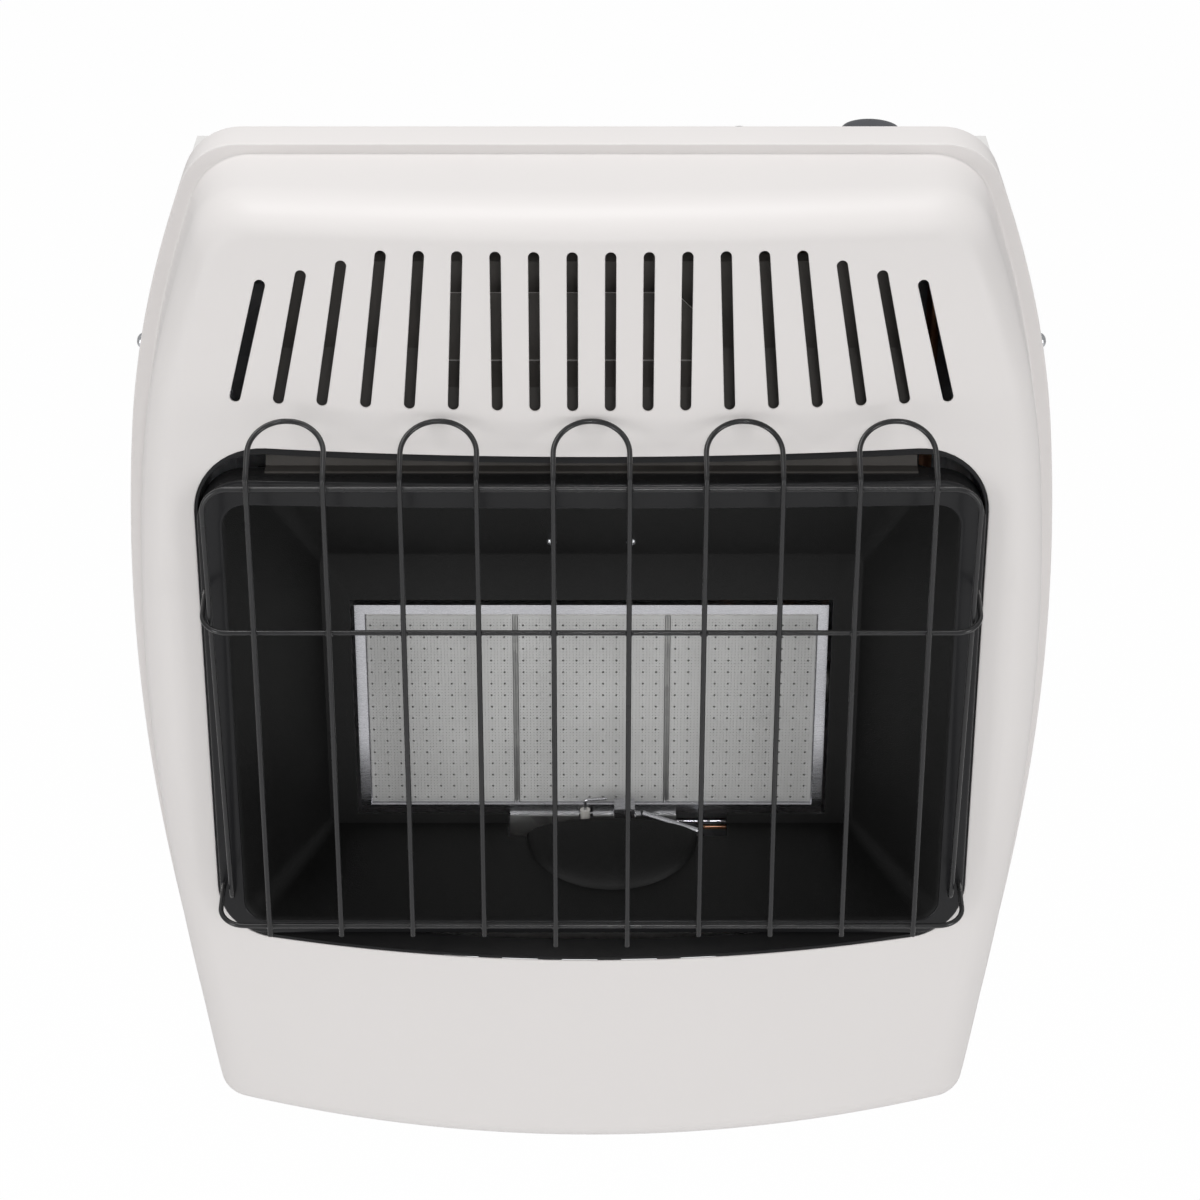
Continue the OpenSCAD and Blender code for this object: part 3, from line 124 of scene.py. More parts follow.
def placeSurroundings():
    world = bpy.data.worlds.new("paleRoom")
    bpy.context.scene.world = world
    world.use_nodes = True
    tree = world.node_tree
    tree.nodes.clear()
    room, seen = (addNode(tree, "ShaderNodeBackground", {"Color": (1, 1, 1, 1), "Strength": strength}).outputs[0]
                  for strength in (surround["light"], 1.0))
    mix = addNode(tree, "ShaderNodeMixShader", {0: seenDirectly(tree), 1: room, 2: seen})
    addNode(tree, "ShaderNodeOutputWorld", {"Surface": mix.outputs[0]})

    material = bpy.data.materials.new("paleFloor")
    material.use_nodes = True
    tree = material.node_tree
    shader = tree.nodes["Principled BSDF"]
    shader.inputs["Base Color"].default_value = (*[surround["floorShade"]] * 3, 1)
    shader.inputs["Roughness"].default_value = surround["floorRough"]
    glow = addNode(tree, "ShaderNodeEmission", {"Strength": 1.0})
    share = addNode(tree, "ShaderNodeMath", {0: seenDirectly(tree), 1: surround["floorGlow"]}, operation="MULTIPLY")
    mix = addNode(tree, "ShaderNodeMixShader", {0: share.outputs[0], 1: shader.outputs[0], 2: glow.outputs[0]})
    tree.links.new(mix.outputs[0], tree.nodes["Material Output"].inputs["Surface"])
    mesh = bpy.data.meshes.new("floor")
    z, half = cadBox[0][2] - surround["floorDrop"], surround["floorHalf"]
    mesh.from_pydata([(-half, -half, z), (half, -half, z), (half, half, z), (-half, half, z)], [], [(0, 1, 2, 3)])
    mesh.materials.append(material)
    floor = bpy.data.objects.new("floor", mesh)
    bpy.context.scene.collection.objects.link(floor)


placeCamera()
placeLamps()
placeSurroundings()
bpy.context.scene.view_settings.view_transform = "Standard"
print("camera, lamps and floor are up")

# shared shader groups


def newGroup(name, kind, inputs, outputs):
    group = bpy.data.node_groups.new(name, kind)
    for label, socketKind, value in inputs:
        socket = group.interface.new_socket(label, in_out="INPUT", socket_type="NodeSocket" + socketKind)
        if value is not None:
            socket.default_value = value
    for label, socketKind in outputs:
        group.interface.new_socket(label, in_out="OUTPUT", socket_type="NodeSocket" + socketKind)
    return group, group.nodes.new("NodeGroupInput"), group.nodes.new("NodeGroupOutput")


def addMath(tree, operation, a, b=None, clamp=False):
    inputs = {index: value for index, value in enumerate((a, b)) if value is not None}
    return addNode(tree, "ShaderNodeMath", inputs, operation=operation, use_clamp=clamp).outputs[0]


def times(tree, a, b, clamp=False):
    return addMath(tree, "MULTIPLY", a, b, clamp)


def addNoise(tree, vector, scale, detail=3.0, rough=0.55):
    inputs = {"Vector": vector, "Scale": scale, "Detail": detail, "Roughness": rough}
    return addNode(tree, "ShaderNodeTexNoise", inputs).outputs["Fac"]


def addCells(tree, vector, scale, **more):
    return addNode(tree, "ShaderNodeTexVoronoi", {"Vector": vector, "Scale": scale, **more}).outputs


def upNormal(tree):
    # how far the surface looks up, from -1 to 1
    normal = addNode(tree, "ShaderNodeNewGeometry").outputs["Normal"]
    return addNode(tree, "ShaderNodeSeparateXYZ", {0: normal}).outputs["Z"]


def sendOut(tree, out, **results):
    for label, value in results.items():
        tree.links.new(value, out.inputs[label])


def addRamp(tree, value, stops):
    node = addNode(tree, "ShaderNodeValToRGB", {"Fac": value})
    ramp = node.color_ramp
    while len(ramp.elements) < len(stops):
        ramp.elements.new(0.5)
    for element, (place, shade) in zip(ramp.elements, stops):
        element.position = place
        element.color = (*shade, 1)
    return node.outputs["Color"]


def grey(v):
    return (v, v, v)


def makePaintSkin():
    # enamel: a slow mottle, the orange peel of the spray and fine dust nibs
    group, given, out = newGroup("paintSkin", "ShaderNodeTree", [
        ("Vector", "Vector", None), ("Peel Scale", "Float", 260.0),
        ("Nib Scale", "Float", 900.0), ("Mottle Scale", "Float", 9.0)],
        [("Mottle", "Float"), ("Nibs", "Float"), ("Height", "Float")])
    place, peelScale, nibScale, mottleScale = given.outputs[:4]
    nib = addMath(group, "SUBTRACT", 0.16, addCells(group, place, nibScale)["Distance"], True)
    nibs = times(group, nib, 5.0, True)
    height = addMath(group, "ADD", addNoise(group, place, peelScale, 1.5), times(group, nibs, 0.6))
    sendOut(group, out, Mottle=addNoise(group, place, mottleScale, 4), Nibs=nibs, Height=height)
    return group


def makeMetalGrain():
    # rolled or drawn metal: long fine lines over a slow stain
    group, given, out = newGroup("metalGrain", "ShaderNodeTree", [
        ("Vector", "Vector", None), ("Across", "Vector", (1.0, 40.0, 40.0)),
        ("Line Scale", "Float", 60.0), ("Stain Scale", "Float", 14.0)],
        [("Lines", "Float"), ("Stain", "Float"), ("Height", "Float")])
    place, across, lineScale, stainScale = given.outputs[:4]
    stretch = addNode(group, "ShaderNodeVectorMath", {0: place, 1: across}, operation="MULTIPLY")
    lines = addNoise(group, stretch.outputs[0], lineScale, 4, 0.65)
    stain = addNoise(group, place, stainScale, 5, 0.6)
    height = addMath(group, "ADD", lines, times(group, stain, 0.3))
    sendOut(group, out, Lines=lines, Stain=stain, Height=height)
    return group


def makeDustAndLitTops():
    # a patchy mask where a surface looks up, broken up by noise: dust on most finishes, and on the dark sheets also
    # painted light where their slope is lit
    group, given, out = newGroup("dustFall", "ShaderNodeTree", [
        ("Vector", "Vector", None), ("Amount", "Float", 0.3)],
        [("Mask", "Float")])
    place, amount = given.outputs[:2]
    up = addMath(group, "SUBTRACT", upNormal(group), 0.55, True)
    patches = addNoise(group, place, 30.0, 6, 0.7)
    broken = times(group, up, times(group, patches, 2.0))
    sendOut(group, out, Mask=times(group, broken, amount, True))
    return group


paintSkin = makePaintSkin()
metalGrain = makeMetalGrain()
dustFall = makeDustAndLitTops()

finish = {}


def startMaterial(name):
    material = finish[name] = bpy.data.materials.new(name)
    material.use_nodes = True
    tree = material.node_tree
    place = tree.nodes.new("ShaderNodeTexCoord").outputs["Object"]
    return tree, tree.nodes["Principled BSDF"], place


def useGroup(tree, group, place, **values):
    inputs = {label.replace("_", " "): value for label, value in values.items()}
    return addNode(tree, "ShaderNodeGroup", {"Vector": place, **inputs}, node_tree=group).outputs


def dress(tree, shader, shade, mask, gloss, height, bump, deep):
    # colour, a roughness between two values over a mask, and a bump
    tree.links.new(shade, shader.inputs["Base Color"])
    rough = addRamp(tree, mask, [(place, grey(value)) for place, value in gloss])
    tree.links.new(rough, shader.inputs["Roughness"])
    node = addNode(tree, "ShaderNodeBump", {"Strength": bump, "Distance": deep, "Height": height})
    tree.links.new(node.outputs["Normal"], shader.inputs["Normal"])


def mixColors(tree, factor, a, b):
    node = addNode(tree, "ShaderNodeMix", {"Factor": factor}, data_type="RGBA")
    for label, value in (("A", a), ("B", b)):
        socket = [s for s in node.inputs if s.name == label and s.type == "RGBA"][0]
        feed(tree, socket, (*value, 1) if isinstance(value, tuple) else value)
    return [s for s in node.outputs if s.type == "RGBA"][0]


def enamel(name, low, high, rough, peel=0.05, coat=0.0, dust=0.0, dustShade=(0.5, 0.49, 0.47), grit=None, specular=0.5):
    tree, shader, place = startMaterial(name)
    skin = useGroup(tree, paintSkin, place, Peel_Scale=grit or 260.0)
    shade = addRamp(tree, skin["Mottle"], [(0.3, low), (0.7, high)])
    shade = mixColors(tree, times(tree, skin["Nibs"], 0.25), shade, tuple(c * 0.8 for c in low))
    if dust:
        topsMask = useGroup(tree, dustFall, place, Amount=dust)
        shade = mixColors(tree, topsMask["Mask"], shade, dustShade)
    dress(tree, shader, shade, skin["Mottle"], ((0.3, rough * 0.88), (0.7, rough * 1.12)), skin["Height"], peel, 0.0006)
    shader.inputs["Specular IOR Level"].default_value = specular
    shader.inputs["Coat Weight"].default_value = coat
    shader.inputs["Coat Roughness"].default_value = 0.06


def metal(name, low, high, rough, across=(1.0, 40.0, 40.0), lineScale=60.0, stainScale=14.0, bump=0.05, spangle=0.0):
    tree, shader, place = startMaterial(name)
    grain = useGroup(tree, metalGrain, place, Across=across, Line_Scale=lineScale, Stain_Scale=stainScale)
    shade = addRamp(tree, grain["Stain"], [(0.32, low), (0.68, high)])
    if spangle:
        flakes = addCells(tree, place, spangle)
        tint = addRamp(tree, flakes["Color"], [(0.1, tuple(c * 0.8 for c in low)), (0.9, high)])
        shade = mixColors(tree, times(tree, grain["Stain"], 0.9), shade, tint)
    dress(tree, shader, shade, grain["Lines"], ((0.3, rough * 0.8), (0.7, min(1, rough * 1.25))), grain["Height"],
          bump, 0.0004)
    shader.inputs["Metallic"].default_value = 1.0


def paintedSheet(name, low, high, edgeHighlight):
    # dark brushed-on paint; with the last argument set, the faces that look up are painted pale, a painted highlight
    # along the edges that catch the light
    tree, shader, place = startMaterial(name)
    skin = useGroup(tree, paintSkin, place, Peel_Scale=700.0, Mottle_Scale=30.0)
    shade = addRamp(tree, skin["Mottle"], [(0.3, low), (0.7, high)])
    # the up-facing slope goes paler in patches: partly dust, partly painted light where the slope is lit
    topsMask = useGroup(tree, dustFall, place, Amount=0.3)
    shade = mixColors(tree, topsMask["Mask"], shade, (0.2, 0.19, 0.18))
    # painted highlight: faces that look up turn pale
    edge = times(tree, addMath(tree, "GREATER_THAN", upNormal(tree), 0.6), edgeHighlight)
    shade = mixColors(tree, edge, shade, (0.72, 0.71, 0.69))
    dress(tree, shader, shade, skin["Mottle"], ((0.3, 0.42), (0.7, 0.6)), skin["Height"], 0.15, 0.0005)


def plaqueCeramic():
    # pressed ceramic: pale grey body, pores between the flame holes darkened as painted shade in their hollows
    tree, shader, place = startMaterial("plaqueCeramic")
    pores = addCells(tree, place, 780, Randomness=0.25)
    poreShadeMask = times(tree, addMath(tree, "SUBTRACT", 0.42, pores["Distance"], True), 2.4, True)
    body = addRamp(tree, addNoise(tree, place, 26, 5, 0.6), [(0.3, (0.45, 0.45, 0.445)), (0.7, (0.52, 0.52, 0.515))])
    speck = addNoise(tree, place, 1500, 2)
    # painted shade: the pores' hollows are darkened
    shade = mixColors(tree, times(tree, poreShadeMask, 0.5), body, grey(0.20))
    shade = mixColors(tree, times(tree, speck, 0.3), shade, (0.5, 0.5, 0.49))
    height = addMath(tree, "SUBTRACT", times(tree, speck, 0.4), poreShadeMask)
    dress(tree, shader, shade, speck, ((0.2, 0.82), (0.8, 0.95)), height, 0.35, 0.0004)


def fibreFelt():
    tree, shader, place = startMaterial("fibreFelt")
    fibre = useGroup(tree, metalGrain, place, Across=(1.0, 9.0, 5.0), Line_Scale=420.0, Stain_Scale=60.0)
    shade = addRamp(tree, fibre["Lines"], [(0.3, (0.55, 0.54, 0.51)), (0.7, (0.82, 0.81, 0.78))])
    dress(tree, shader, shade, fibre["Stain"], ((0.3, 0.9), (0.7, 1.0)), fibre["Height"], 0.6, 0.0006)


def mouldedPlastic(name, low, high, rough, grain=520.0, bump=0.06):
    tree, shader, place = startMaterial(name)
    skin = useGroup(tree, paintSkin, place, Peel_Scale=grain, Mottle_Scale=22.0)
    topsMask = useGroup(tree, dustFall, place, Amount=0.12)
    shade = addRamp(tree, skin["Mottle"], [(0.3, low), (0.7, high)])
    shade = mixColors(tree, topsMask["Mask"], shade, (0.35, 0.35, 0.36))
    dress(tree, shader, shade, skin["Mottle"], ((0.3, rough * 0.85), (0.7, rough * 1.15)), skin["Height"], bump, 0.0004)


enamel("coverEnamel", (0.706, 0.681, 0.671), (0.712, 0.687, 0.677), 0.42, 0.035, specular=0.2)
enamel("caseEnamel", (0.72, 0.71, 0.70), (0.75, 0.74, 0.73), 0.36, 0.06, 0.1, 0.25)
enamel("stripBlack", (0.008, 0.008, 0.009), (0.012, 0.012, 0.013), 0.42, 0.08, 0.0, 0.05, specular=0.2)
enamel("frameGlossBlack", (0.010, 0.010, 0.011), (0.014, 0.014, 0.015), 0.22, 0.05, 0.05, 0.05, specular=0.22)
enamel("linerGrain", (0.004, 0.004, 0.004), (0.007, 0.007, 0.007), 0.5, 0.5, 0.0, 0.03, (0.06, 0.06, 0.06), 1500.0,
       0.26)
enamel("guardGloss", (0.012, 0.012, 0.013), (0.018, 0.018, 0.019), 0.26, 0.06, 0.08, 0.05, specular=0.4)
metal("zincSheet", (0.42, 0.43, 0.45), (0.58, 0.59, 0.61), 0.42, (6, 40, 6), 40, 20, 0.05, 55)
paintedSheet("darkSheet", (0.060, 0.055, 0.050), (0.085, 0.078, 0.072), 0.0)
# the baffle's up-facing edges carry the painted highlight
paintedSheet("baffleSheet", (0.060, 0.055, 0.050), (0.085, 0.078, 0.072), 1.0)
metal("burnerSteel", (0.30, 0.30, 0.30), (0.46, 0.46, 0.45), 0.45, (1, 30, 30), 50, 24, 0.08, 120)
metal("brightSteel", (0.52, 0.52, 0.55), (0.64, 0.64, 0.67), 0.26, (2, 60, 60), 50, 10, 0.008)
metal("screwSteel", (0.55, 0.56, 0.58), (0.72, 0.73, 0.75), 0.26, (60, 60, 2), 60, 60, 0.05)
plaqueCeramic()
fibreFelt()
enamel("glazedSleeve", (0.70, 0.68, 0.63), (0.78, 0.76, 0.72), 0.12, 0.03, 0.4)
metal("turnedBrass", (0.46, 0.32, 0.11), (0.66, 0.49, 0.21), 0.3, (60, 2, 2), 60, 40, 0.05)
metal("drawnCopper", (0.50, 0.24, 0.13), (0.70, 0.38, 0.24), 0.34, (30, 30, 1), 60, 30, 0.05)
metal("castAlloy", (0.34, 0.34, 0.35), (0.46, 0.46, 0.47), 0.52, (14, 14, 14), 60, 50, 0.25)
mouldedPlastic("knobPlastic", (0.010, 0.012, 0.018), (0.016, 0.019, 0.028), 0.22)
mouldedPlastic("buttonPlastic", (0.012, 0.012, 0.013), (0.02, 0.02, 0.021), 0.34)
mouldedPlastic("leadRubber", (0.42, 0.12, 0.03), (0.52, 0.17, 0.05), 0.5, 300.0, 0.1)
print("finishes are mixed:", len(finish))

# mesh helpers


def addMesh(name, verts, faces, material, edges=()):
    mesh = bpy.data.meshes.new(name)
    mesh.from_pydata([(x * mm, y * mm, z * mm) for x, y, z in verts], list(edges), faces)
    mesh.materials.append(finish[material])
    obj = bpy.data.objects.new(name, mesh)
    bpy.context.scene.collection.objects.link(obj)
    return obj


def smoothBelow(obj, degrees):
    obj.data.shade_smooth()
    obj.data.set_sharp_from_angle(angle=radians(degrees))


def closeAndTurnOut(obj, merge=0.004):
    work = bmesh.new()
    work.from_mesh(obj.data)
    bmesh.ops.remove_doubles(work, verts=work.verts, dist=merge * mm)
    bmesh.ops.dissolve_degenerate(work, edges=work.edges, dist=1e-7)
    bmesh.ops.recalc_face_normals(work, faces=work.faces)
    openEdges = sum(1 for edge in work.edges if len(edge.link_faces) != 2)
    work.to_mesh(obj.data)
    work.free()
    smoothBelow(obj, 38)
    if openEdges:
        print("  open edges in", obj.name, openEdges)
    return obj


def skinLoops(loops, around=True):
    # quads between loops of equal length; around joins the last loop to the first
    count = len(loops[0])
    verts = [point for loop in loops for point in loop]
    faces = []
    steps = len(loops) if around else len(loops) - 1
    for k in range(steps):
        low, high = k * count, ((k + 1) % len(loops)) * count
        for i in range(count):
            j = (i + 1) % count
            faces.append((low + i, low + j, high + j, high + i))
    return verts, faces


def addFaces(verts, faces, moreVerts, moreFaces):
    start = len(verts)
    verts += moreVerts
    faces += [tuple(start + i for i in face) for face in moreFaces]


def rideAs(piece, slotName, body, *replaced):
    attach(piece, body)
    if replaced:
        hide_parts(*replaced)


def applyModifiers(obj):
    graph = bpy.context.evaluated_depsgraph_get()
    graph.update()
    made = bpy.data.meshes.new_from_object(obj.evaluated_get(graph), depsgraph=graph)
    obj.modifiers.clear()
    old = obj.data
    obj.data = made
    made.name = old.name + "Made"
    bpy.data.meshes.remove(old)


def newTree(name, inputs):
    return newGroup(name, "GeometryNodeTree", [("Geometry", "Geometry", None)] + inputs, [("Geometry", "Geometry")])


def wearOnly(obj, material):
    obj.data.materials.clear()
    obj.data.materials.append(material)
    obj.data.polygons.foreach_set("material_index", [0] * len(obj.data.polygons))
    obj.data.update()


def runTree(obj, tree, **values):
    modifier = obj.modifiers.new(tree.name, "NODES")
    modifier.node_group = tree
    labels = {item.name: item.identifier for item in tree.interface.items_tree if item.in_out == "INPUT"}
    for label, value in values.items():
        modifier[labels[label.replace("_", " ")]] = value
    applyModifiers(obj)
    wearOnly(obj, [value for value in values.values() if isinstance(value, bpy.types.Material)][0])


# the outline that the cover, its opening and the firebox share

cover = {
    "height": 618, "width": 561, "sideBow": 38, "cornerBow": (16, -4), "bowStart": 130, "upperR": 36, "lowerR": 14,
    "rimFront": 105, "rimDepth": 30, "rimR": 0.9, "faceDepth": 177, "bowTop": 17, "bowMore": 27, "sheet": 1.2,
    "bowFrom": 184, "bowSpan": 484, "edgeR": 0.6, "gridStep": 7.0, "keepBand": 0.8,
}
# the flat band, the lean of the bulge's wall and its rounding, each at the top, the sides and the bottom
bulge = {"band": (6, 9.5, 1.1), "lean": (1, 3.5, 0.1), "round": (21.5, 20, 20), "deep": 12, "less": 5, "more": 22,
         "lowFrom": 240, "lowOver": 50, "topFrom": 190, "topOver": 100}
opening = {"width": 460, "top": 154, "bottom": 178.5, "cornerR": 44, "lowR": 32, "liningDepth": 21.5, "liningGap": 0.4,
           "lip": 3.6, "lipRoll": 0.4}
halfH = cover["height"] / 2


def sideX(z):
    further = max(0, abs(z) - cover["bowStart"]) / (halfH - cover["bowStart"])
    return cover["width"] / 2 - cover["sideBow"] * (z / halfH) ** 2 - cover["cornerBow"][z < 0] * further ** 2


def bowAt(z):
    t = min(1, max(0, (cover["bowFrom"] - z) / cover["bowSpan"]))
    return cover["bowTop"] + cover["bowMore"] * t ** 1.5


def faceY(x, z):
    return -(cover["faceDepth"] + bowAt(z) * (1 - (2 * x / opening["width"]) ** 2))


def quarterPoints(h, r, width, ends, arcs, sides):
    slope = (width(h - r * 0.6 - 1) - width(h - r * 0.6 + 1)) / 2
    lean = atan(slope)
    zSide = h - r + r * sin(lean)
    xArc = width(zSide) - r * cos(lean)
    points = [(xArc * i / ends, h) for i in range(ends)]
    for i in range(arcs + 1):
        a = pi / 2 - (pi / 2 - lean) * i / arcs
        points.append((xArc + r * cos(a), h - r + r * sin(a)))
    for i in range(1, sides + 1):
        z = zSide * (1 - i / sides)
        points.append((width(z), z))
    return points


def outlinePoints(top, bottom, r, width, ends=24, arcs=10, sides=34, lowR=None):
    upper = quarterPoints(top, r, width, ends, arcs, sides)
    lower = quarterPoints(bottom, lowR or r, lambda z: width(-z), ends, arcs, sides)
    right = upper[:-1] + [(x, -z) for x, z in reversed(lower)]
    return right + [(-x, z) for x, z in reversed(right[1:-1])]


def coverLoop(insets):
    top, side, bottom = insets
    return outlinePoints(halfH - top, halfH - bottom, cover["upperR"], lambda z: sideX(z) - side, lowR=cover["lowerR"])


def openLoop(inset, more=0):
    o = opening
    return outlinePoints(o["top"] - inset - more, o["bottom"] - inset, o["cornerR"] - inset - more,
                         lambda z: o["width"] / 2 - inset, 22, 12, 20, o["lowR"] - inset)


def boxLoop(half, top, bottom, r, ends=22, arcs=10, sides=18):
    return outlinePoints(top, bottom, r, lambda z: half, ends, arcs, sides)


def atY(loop, y):
    return [(x, y, z) for x, z in loop]


def onFace(loop, back):
    return [(x, faceY(x, z) + back, z) for x, z in loop]


# front cover

slots = {"eachSide": 9, "width": 6.2, "pitch": 21.25, "low": 185.5, "length": 96, "upright": 3, "lean": 2.35,
         "step": 6.2, "spread": 3.6, "shortenFrom": 5}


def slotOutlines(grow):
    shapes = []
    for side in (-1, 1):
        for k in range(slots["eachSide"]):
            past = max(0, k - slots["upright"] + 1)
            lean = radians(slots["lean"] * past) * side
            x0 = side * (slots["pitch"] * (k + 0.5) + slots["spread"] * past)
            run = slots["length"] - slots["step"] * max(0, k - slots["shortenFrom"]) - slots["width"]
            r = slots["width"] / 2 + grow
            local = [(-r * cos(pi * i / 12), -r * sin(pi * i / 12)) for i in range(13)]
            local += [(r, run * i / 12) for i in range(1, 12)]
            local += [(r * cos(pi * i / 12), run + r * sin(pi * i / 12)) for i in range(13)]
            local += [(-r, run * (1 - i / 12)) for i in range(1, 12)]
            # the outer slots lean in towards the top centre, as the cover's sides do
            shapes.append([(x0 + u * cos(lean) - v * sin(lean), slots["low"] + u * sin(lean) + v * cos(lean))
                           for u, v in local])
    return shapes


def inside(point, polygon):
    x, z = point
    hit = False
    for (x1, z1), (x2, z2) in zip(polygon, polygon[1:] + polygon[:1]):
        if (z1 > z) != (z2 > z) and x < (x2 - x1) * (z - z1) / (z2 - z1) + x1:
            hit = not hit
    return hit


def faceTriangles(border, holes, keepers):
    # a Delaunay net over the face, with the holes left open and a narrow band kept round each
    points, edges = [], []
    for shape in [border] + holes + keepers:
        start = len(points)
        points += shape
        edges += [(start + i, start + (i + 1) % len(shape)) for i in range(len(shape))]
    near = kdtree.KDTree(len(points))
    for i, (x, z) in enumerate(points):
        near.insert((x, 0, z), i)
    near.balance()
    boxes = [(min(x for x, z in h), max(x for x, z in h), min(z for x, z in h), max(z for x, z in h)) for h in holes]

    def covered(point):
        if not inside(point, border):
            return False
        for hole, (x1, x2, z1, z2) in zip(holes, boxes):
            if x1 <= point[0] <= x2 and z1 <= point[1] <= z2 and inside(point, hole):
                return False
        return True

    step = cover["gridStep"]
    row, z = 0, -halfH
    while z < halfH:
        x = -cover["width"] / 2 + (step / 2 if row % 2 else 0)
        while x < cover["width"] / 2:
            if near.find((x, 0, z))[2] > step * 0.55 and covered((x, z)):
                points.append((x, z))
            x += step
        z += step * 0.866
        row += 1
    made, _, faces, _, _, _ = delaunay_2d_cdt([Vector(p) for p in points], edges, [], 0, 1e-5)
    made = [(p[0], p[1]) for p in made]
    kept = []
    for f in faces:
        centre = (sum(made[i][0] for i in f) / len(f), sum(made[i][1] for i in f) / len(f))
        if covered(centre):
            kept.append(tuple(f))
    return made, kept


def deepAt(z):
    # the rounding is shallower along the bottom and deeper along the top
    low = min(1, max(0, (-z - bulge["lowFrom"]) / bulge["lowOver"]))
    high = min(1, max(0, (z - bulge["topFrom"]) / bulge["topOver"]))
    return bulge["deep"] - bulge["less"] * low + bulge["more"] * high


def wallRing(share, back):
    # up the bulge's wall, from the band at 0 to where the rounding starts at 1
    loop = coverLoop([band + lean * share + back for band, lean in zip(bulge["band"], bulge["lean"])])
    front = cover["rimFront"]
    return [(x, -front + back * (1 - share) - (-faceY(x, z) - front - deepAt(z)) * share, z) for x, z in loop]


def roundRing(a, back):
    # round the bulge's edge, from its wall at 90 degrees to its face at 0
    deep, wide = bulge["deep"], bulge["round"][1]
    length = hypot(deep * sin(a), wide * cos(a))
    inward, behind = back * deep * sin(a) / length, back * wide * cos(a) / length
    loop = coverLoop([band + lean + r * (1 - sin(a)) + inward
                      for band, lean, r in zip(bulge["band"], bulge["lean"], bulge["round"])])
    return [(x, faceY(x, z) + deepAt(z) * (1 - cos(a)) + behind, z) for x, z in loop]


def bandRing(share, y):
    # across the flat band, from the rim's rounded edge at 0 to the bulge's wall at 1
    r = cover["rimR"]
    return atY(coverLoop([r + (band - r) * share for band in bulge["band"]]), y)


def rimRing(inset, y):
    return atY(coverLoop([inset] * 3), y)


def buildCover():
    c = cover
    t, e, r, front, foot = c["sheet"], c["edgeR"], c["rimR"], -c["rimFront"], c["rimDepth"] - c["rimFront"]
    shares = [0.03, 0.1, 0.25, 0.45, 0.65, 0.82, 0.94]
    angles = [radians(a) for a in (90, 84, 77, 70, 63, 56, 49, 42, 36, 30, 24, 18, 12, 6, 0)]
    rimAngles = [k * pi / 8 for k in range(5)]
    outside = [rimRing(0.4, foot), rimRing(0, foot - 0.5)]
    outside += [rimRing(r * (1 - cos(a)), front + r * (1 - sin(a))) for a in rimAngles]
    outside += [bandRing(share, front - rise) for share, rise in ((0.8, 0), (0.92, 0.15), (0.98, 0.6))]
    outside += [wallRing(share, 0) for share in shares] + [roundRing(a, 0) for a in angles]
    within = [roundRing(a, t) for a in reversed(angles)] + [wallRing(share, t) for share in reversed(shares)]
    within += [wallRing(0, t), rimRing(t + 0.6, front + t), rimRing(t, front + t + 0.6), rimRing(t, foot - 0.5)]
    verts, faces = skinLoops(within + outside, False)
    # lay the slotted face in the open front, then roll the edges of its holes
    border = [(x, z) for x, _, z in outside[-1]]
    holes = [openLoop(-e)] + slotOutlines(e)
    keepers = [openLoop(-e - c["keepBand"])] + slotOutlines(e + c["keepBand"])
    flat, net = faceTriangles(border, holes, keepers)
    for back in (0, t):
        addFaces(verts, faces, [(x, faceY(x, z) + back, z) for x, z in flat], net)
    steps = [(1, 0), (0.62, 0.08), (0.3, 0.17), (0.08, 0.3), (0, 0.5), (0.08, 0.7), (0.3, 0.83), (0.62, 0.92), (1, 1)]
    edges = [[openLoop(-grow * e)] + slotOutlines(grow * e) for grow, _ in steps]
    for k in range(len(holes)):
        addFaces(verts, faces, *skinLoops([onFace(edge[k], back * t) for edge, (_, back) in zip(edges, steps)], False))
    return closeAndTurnOut(addMesh("bowedCover", verts, faces, "coverEnamel"))


coverPiece = buildCover()
rideAs(coverPiece, "cover_enamel", "heater", "front_cover")
print("cover", len(coverPiece.data.polygons), "faces")


def buildLining():
    # the strip stands just behind the cover's edge and turns down along the opening's top
    o, t = opening, cover["sheet"]
    near, far = o["liningGap"], o["liningGap"] + t
    lip, drop, back = far + o["lipRoll"], o["lip"] - t - o["lipRoll"], 0.5 + t
    loops = [onFace(openLoop(a, more), b) for a, more, b in (
        (near, 0, o["liningDepth"] - 0.3), (near, 0, 8), (near, 0, 0.9), (near + 0.1, 0, 0.6), (near + 0.4, 0, 0.5),
        (lip - 0.35, drop, 0.5), (lip - 0.1, drop, 0.6), (lip, drop, 0.85), (lip, drop, back - 0.35),
        (lip - 0.35, drop, back), (far, 0, back), (far, 0, 8), (far, 0, o["liningDepth"] - 0.3),
        (far - 0.3, 0, o["liningDepth"]), (near + 0.3, 0, o["liningDepth"]))]
    return closeAndTurnOut(addMesh("openingLining", *skinLoops(loops), "stripBlack"))


rideAs(buildLining(), "black_strip", "heater", "opening_lining")
print("opening lining is in")

# firebox: glossy frame, black liner with its pilot notch and pressed hood

firebox = {
    "front": 187, "return": 17, "half": 227.5, "top": 136, "bottom": 175, "outerR": 28, "bow": 5.5, "holeHalf": 213,
    "holeTop": 120, "holeBottom": 165.5, "holeR": 14, "linerFront": 185.8, "flange": 4.4, "mouthTop": 132.4,
    "mouthLip": 2, "roofSlope": 56, "roofEase": 2.5, "panelFront": 100, "panelHalf": 166, "panelTop": 43,
    "panelBottom": 149, "panelR": 6, "windowHalf": 148.5, "windowTop": 12, "windowBottom": 142,
    "notchLeft": -53, "notchRight": 86, "notchDepth": 12, "hoodX": 13, "hoodWidth": 108, "hoodDepth": 48,
    "hoodHeight": 13.5, "sheet": 1.2, "edgeR": 1.5,
}


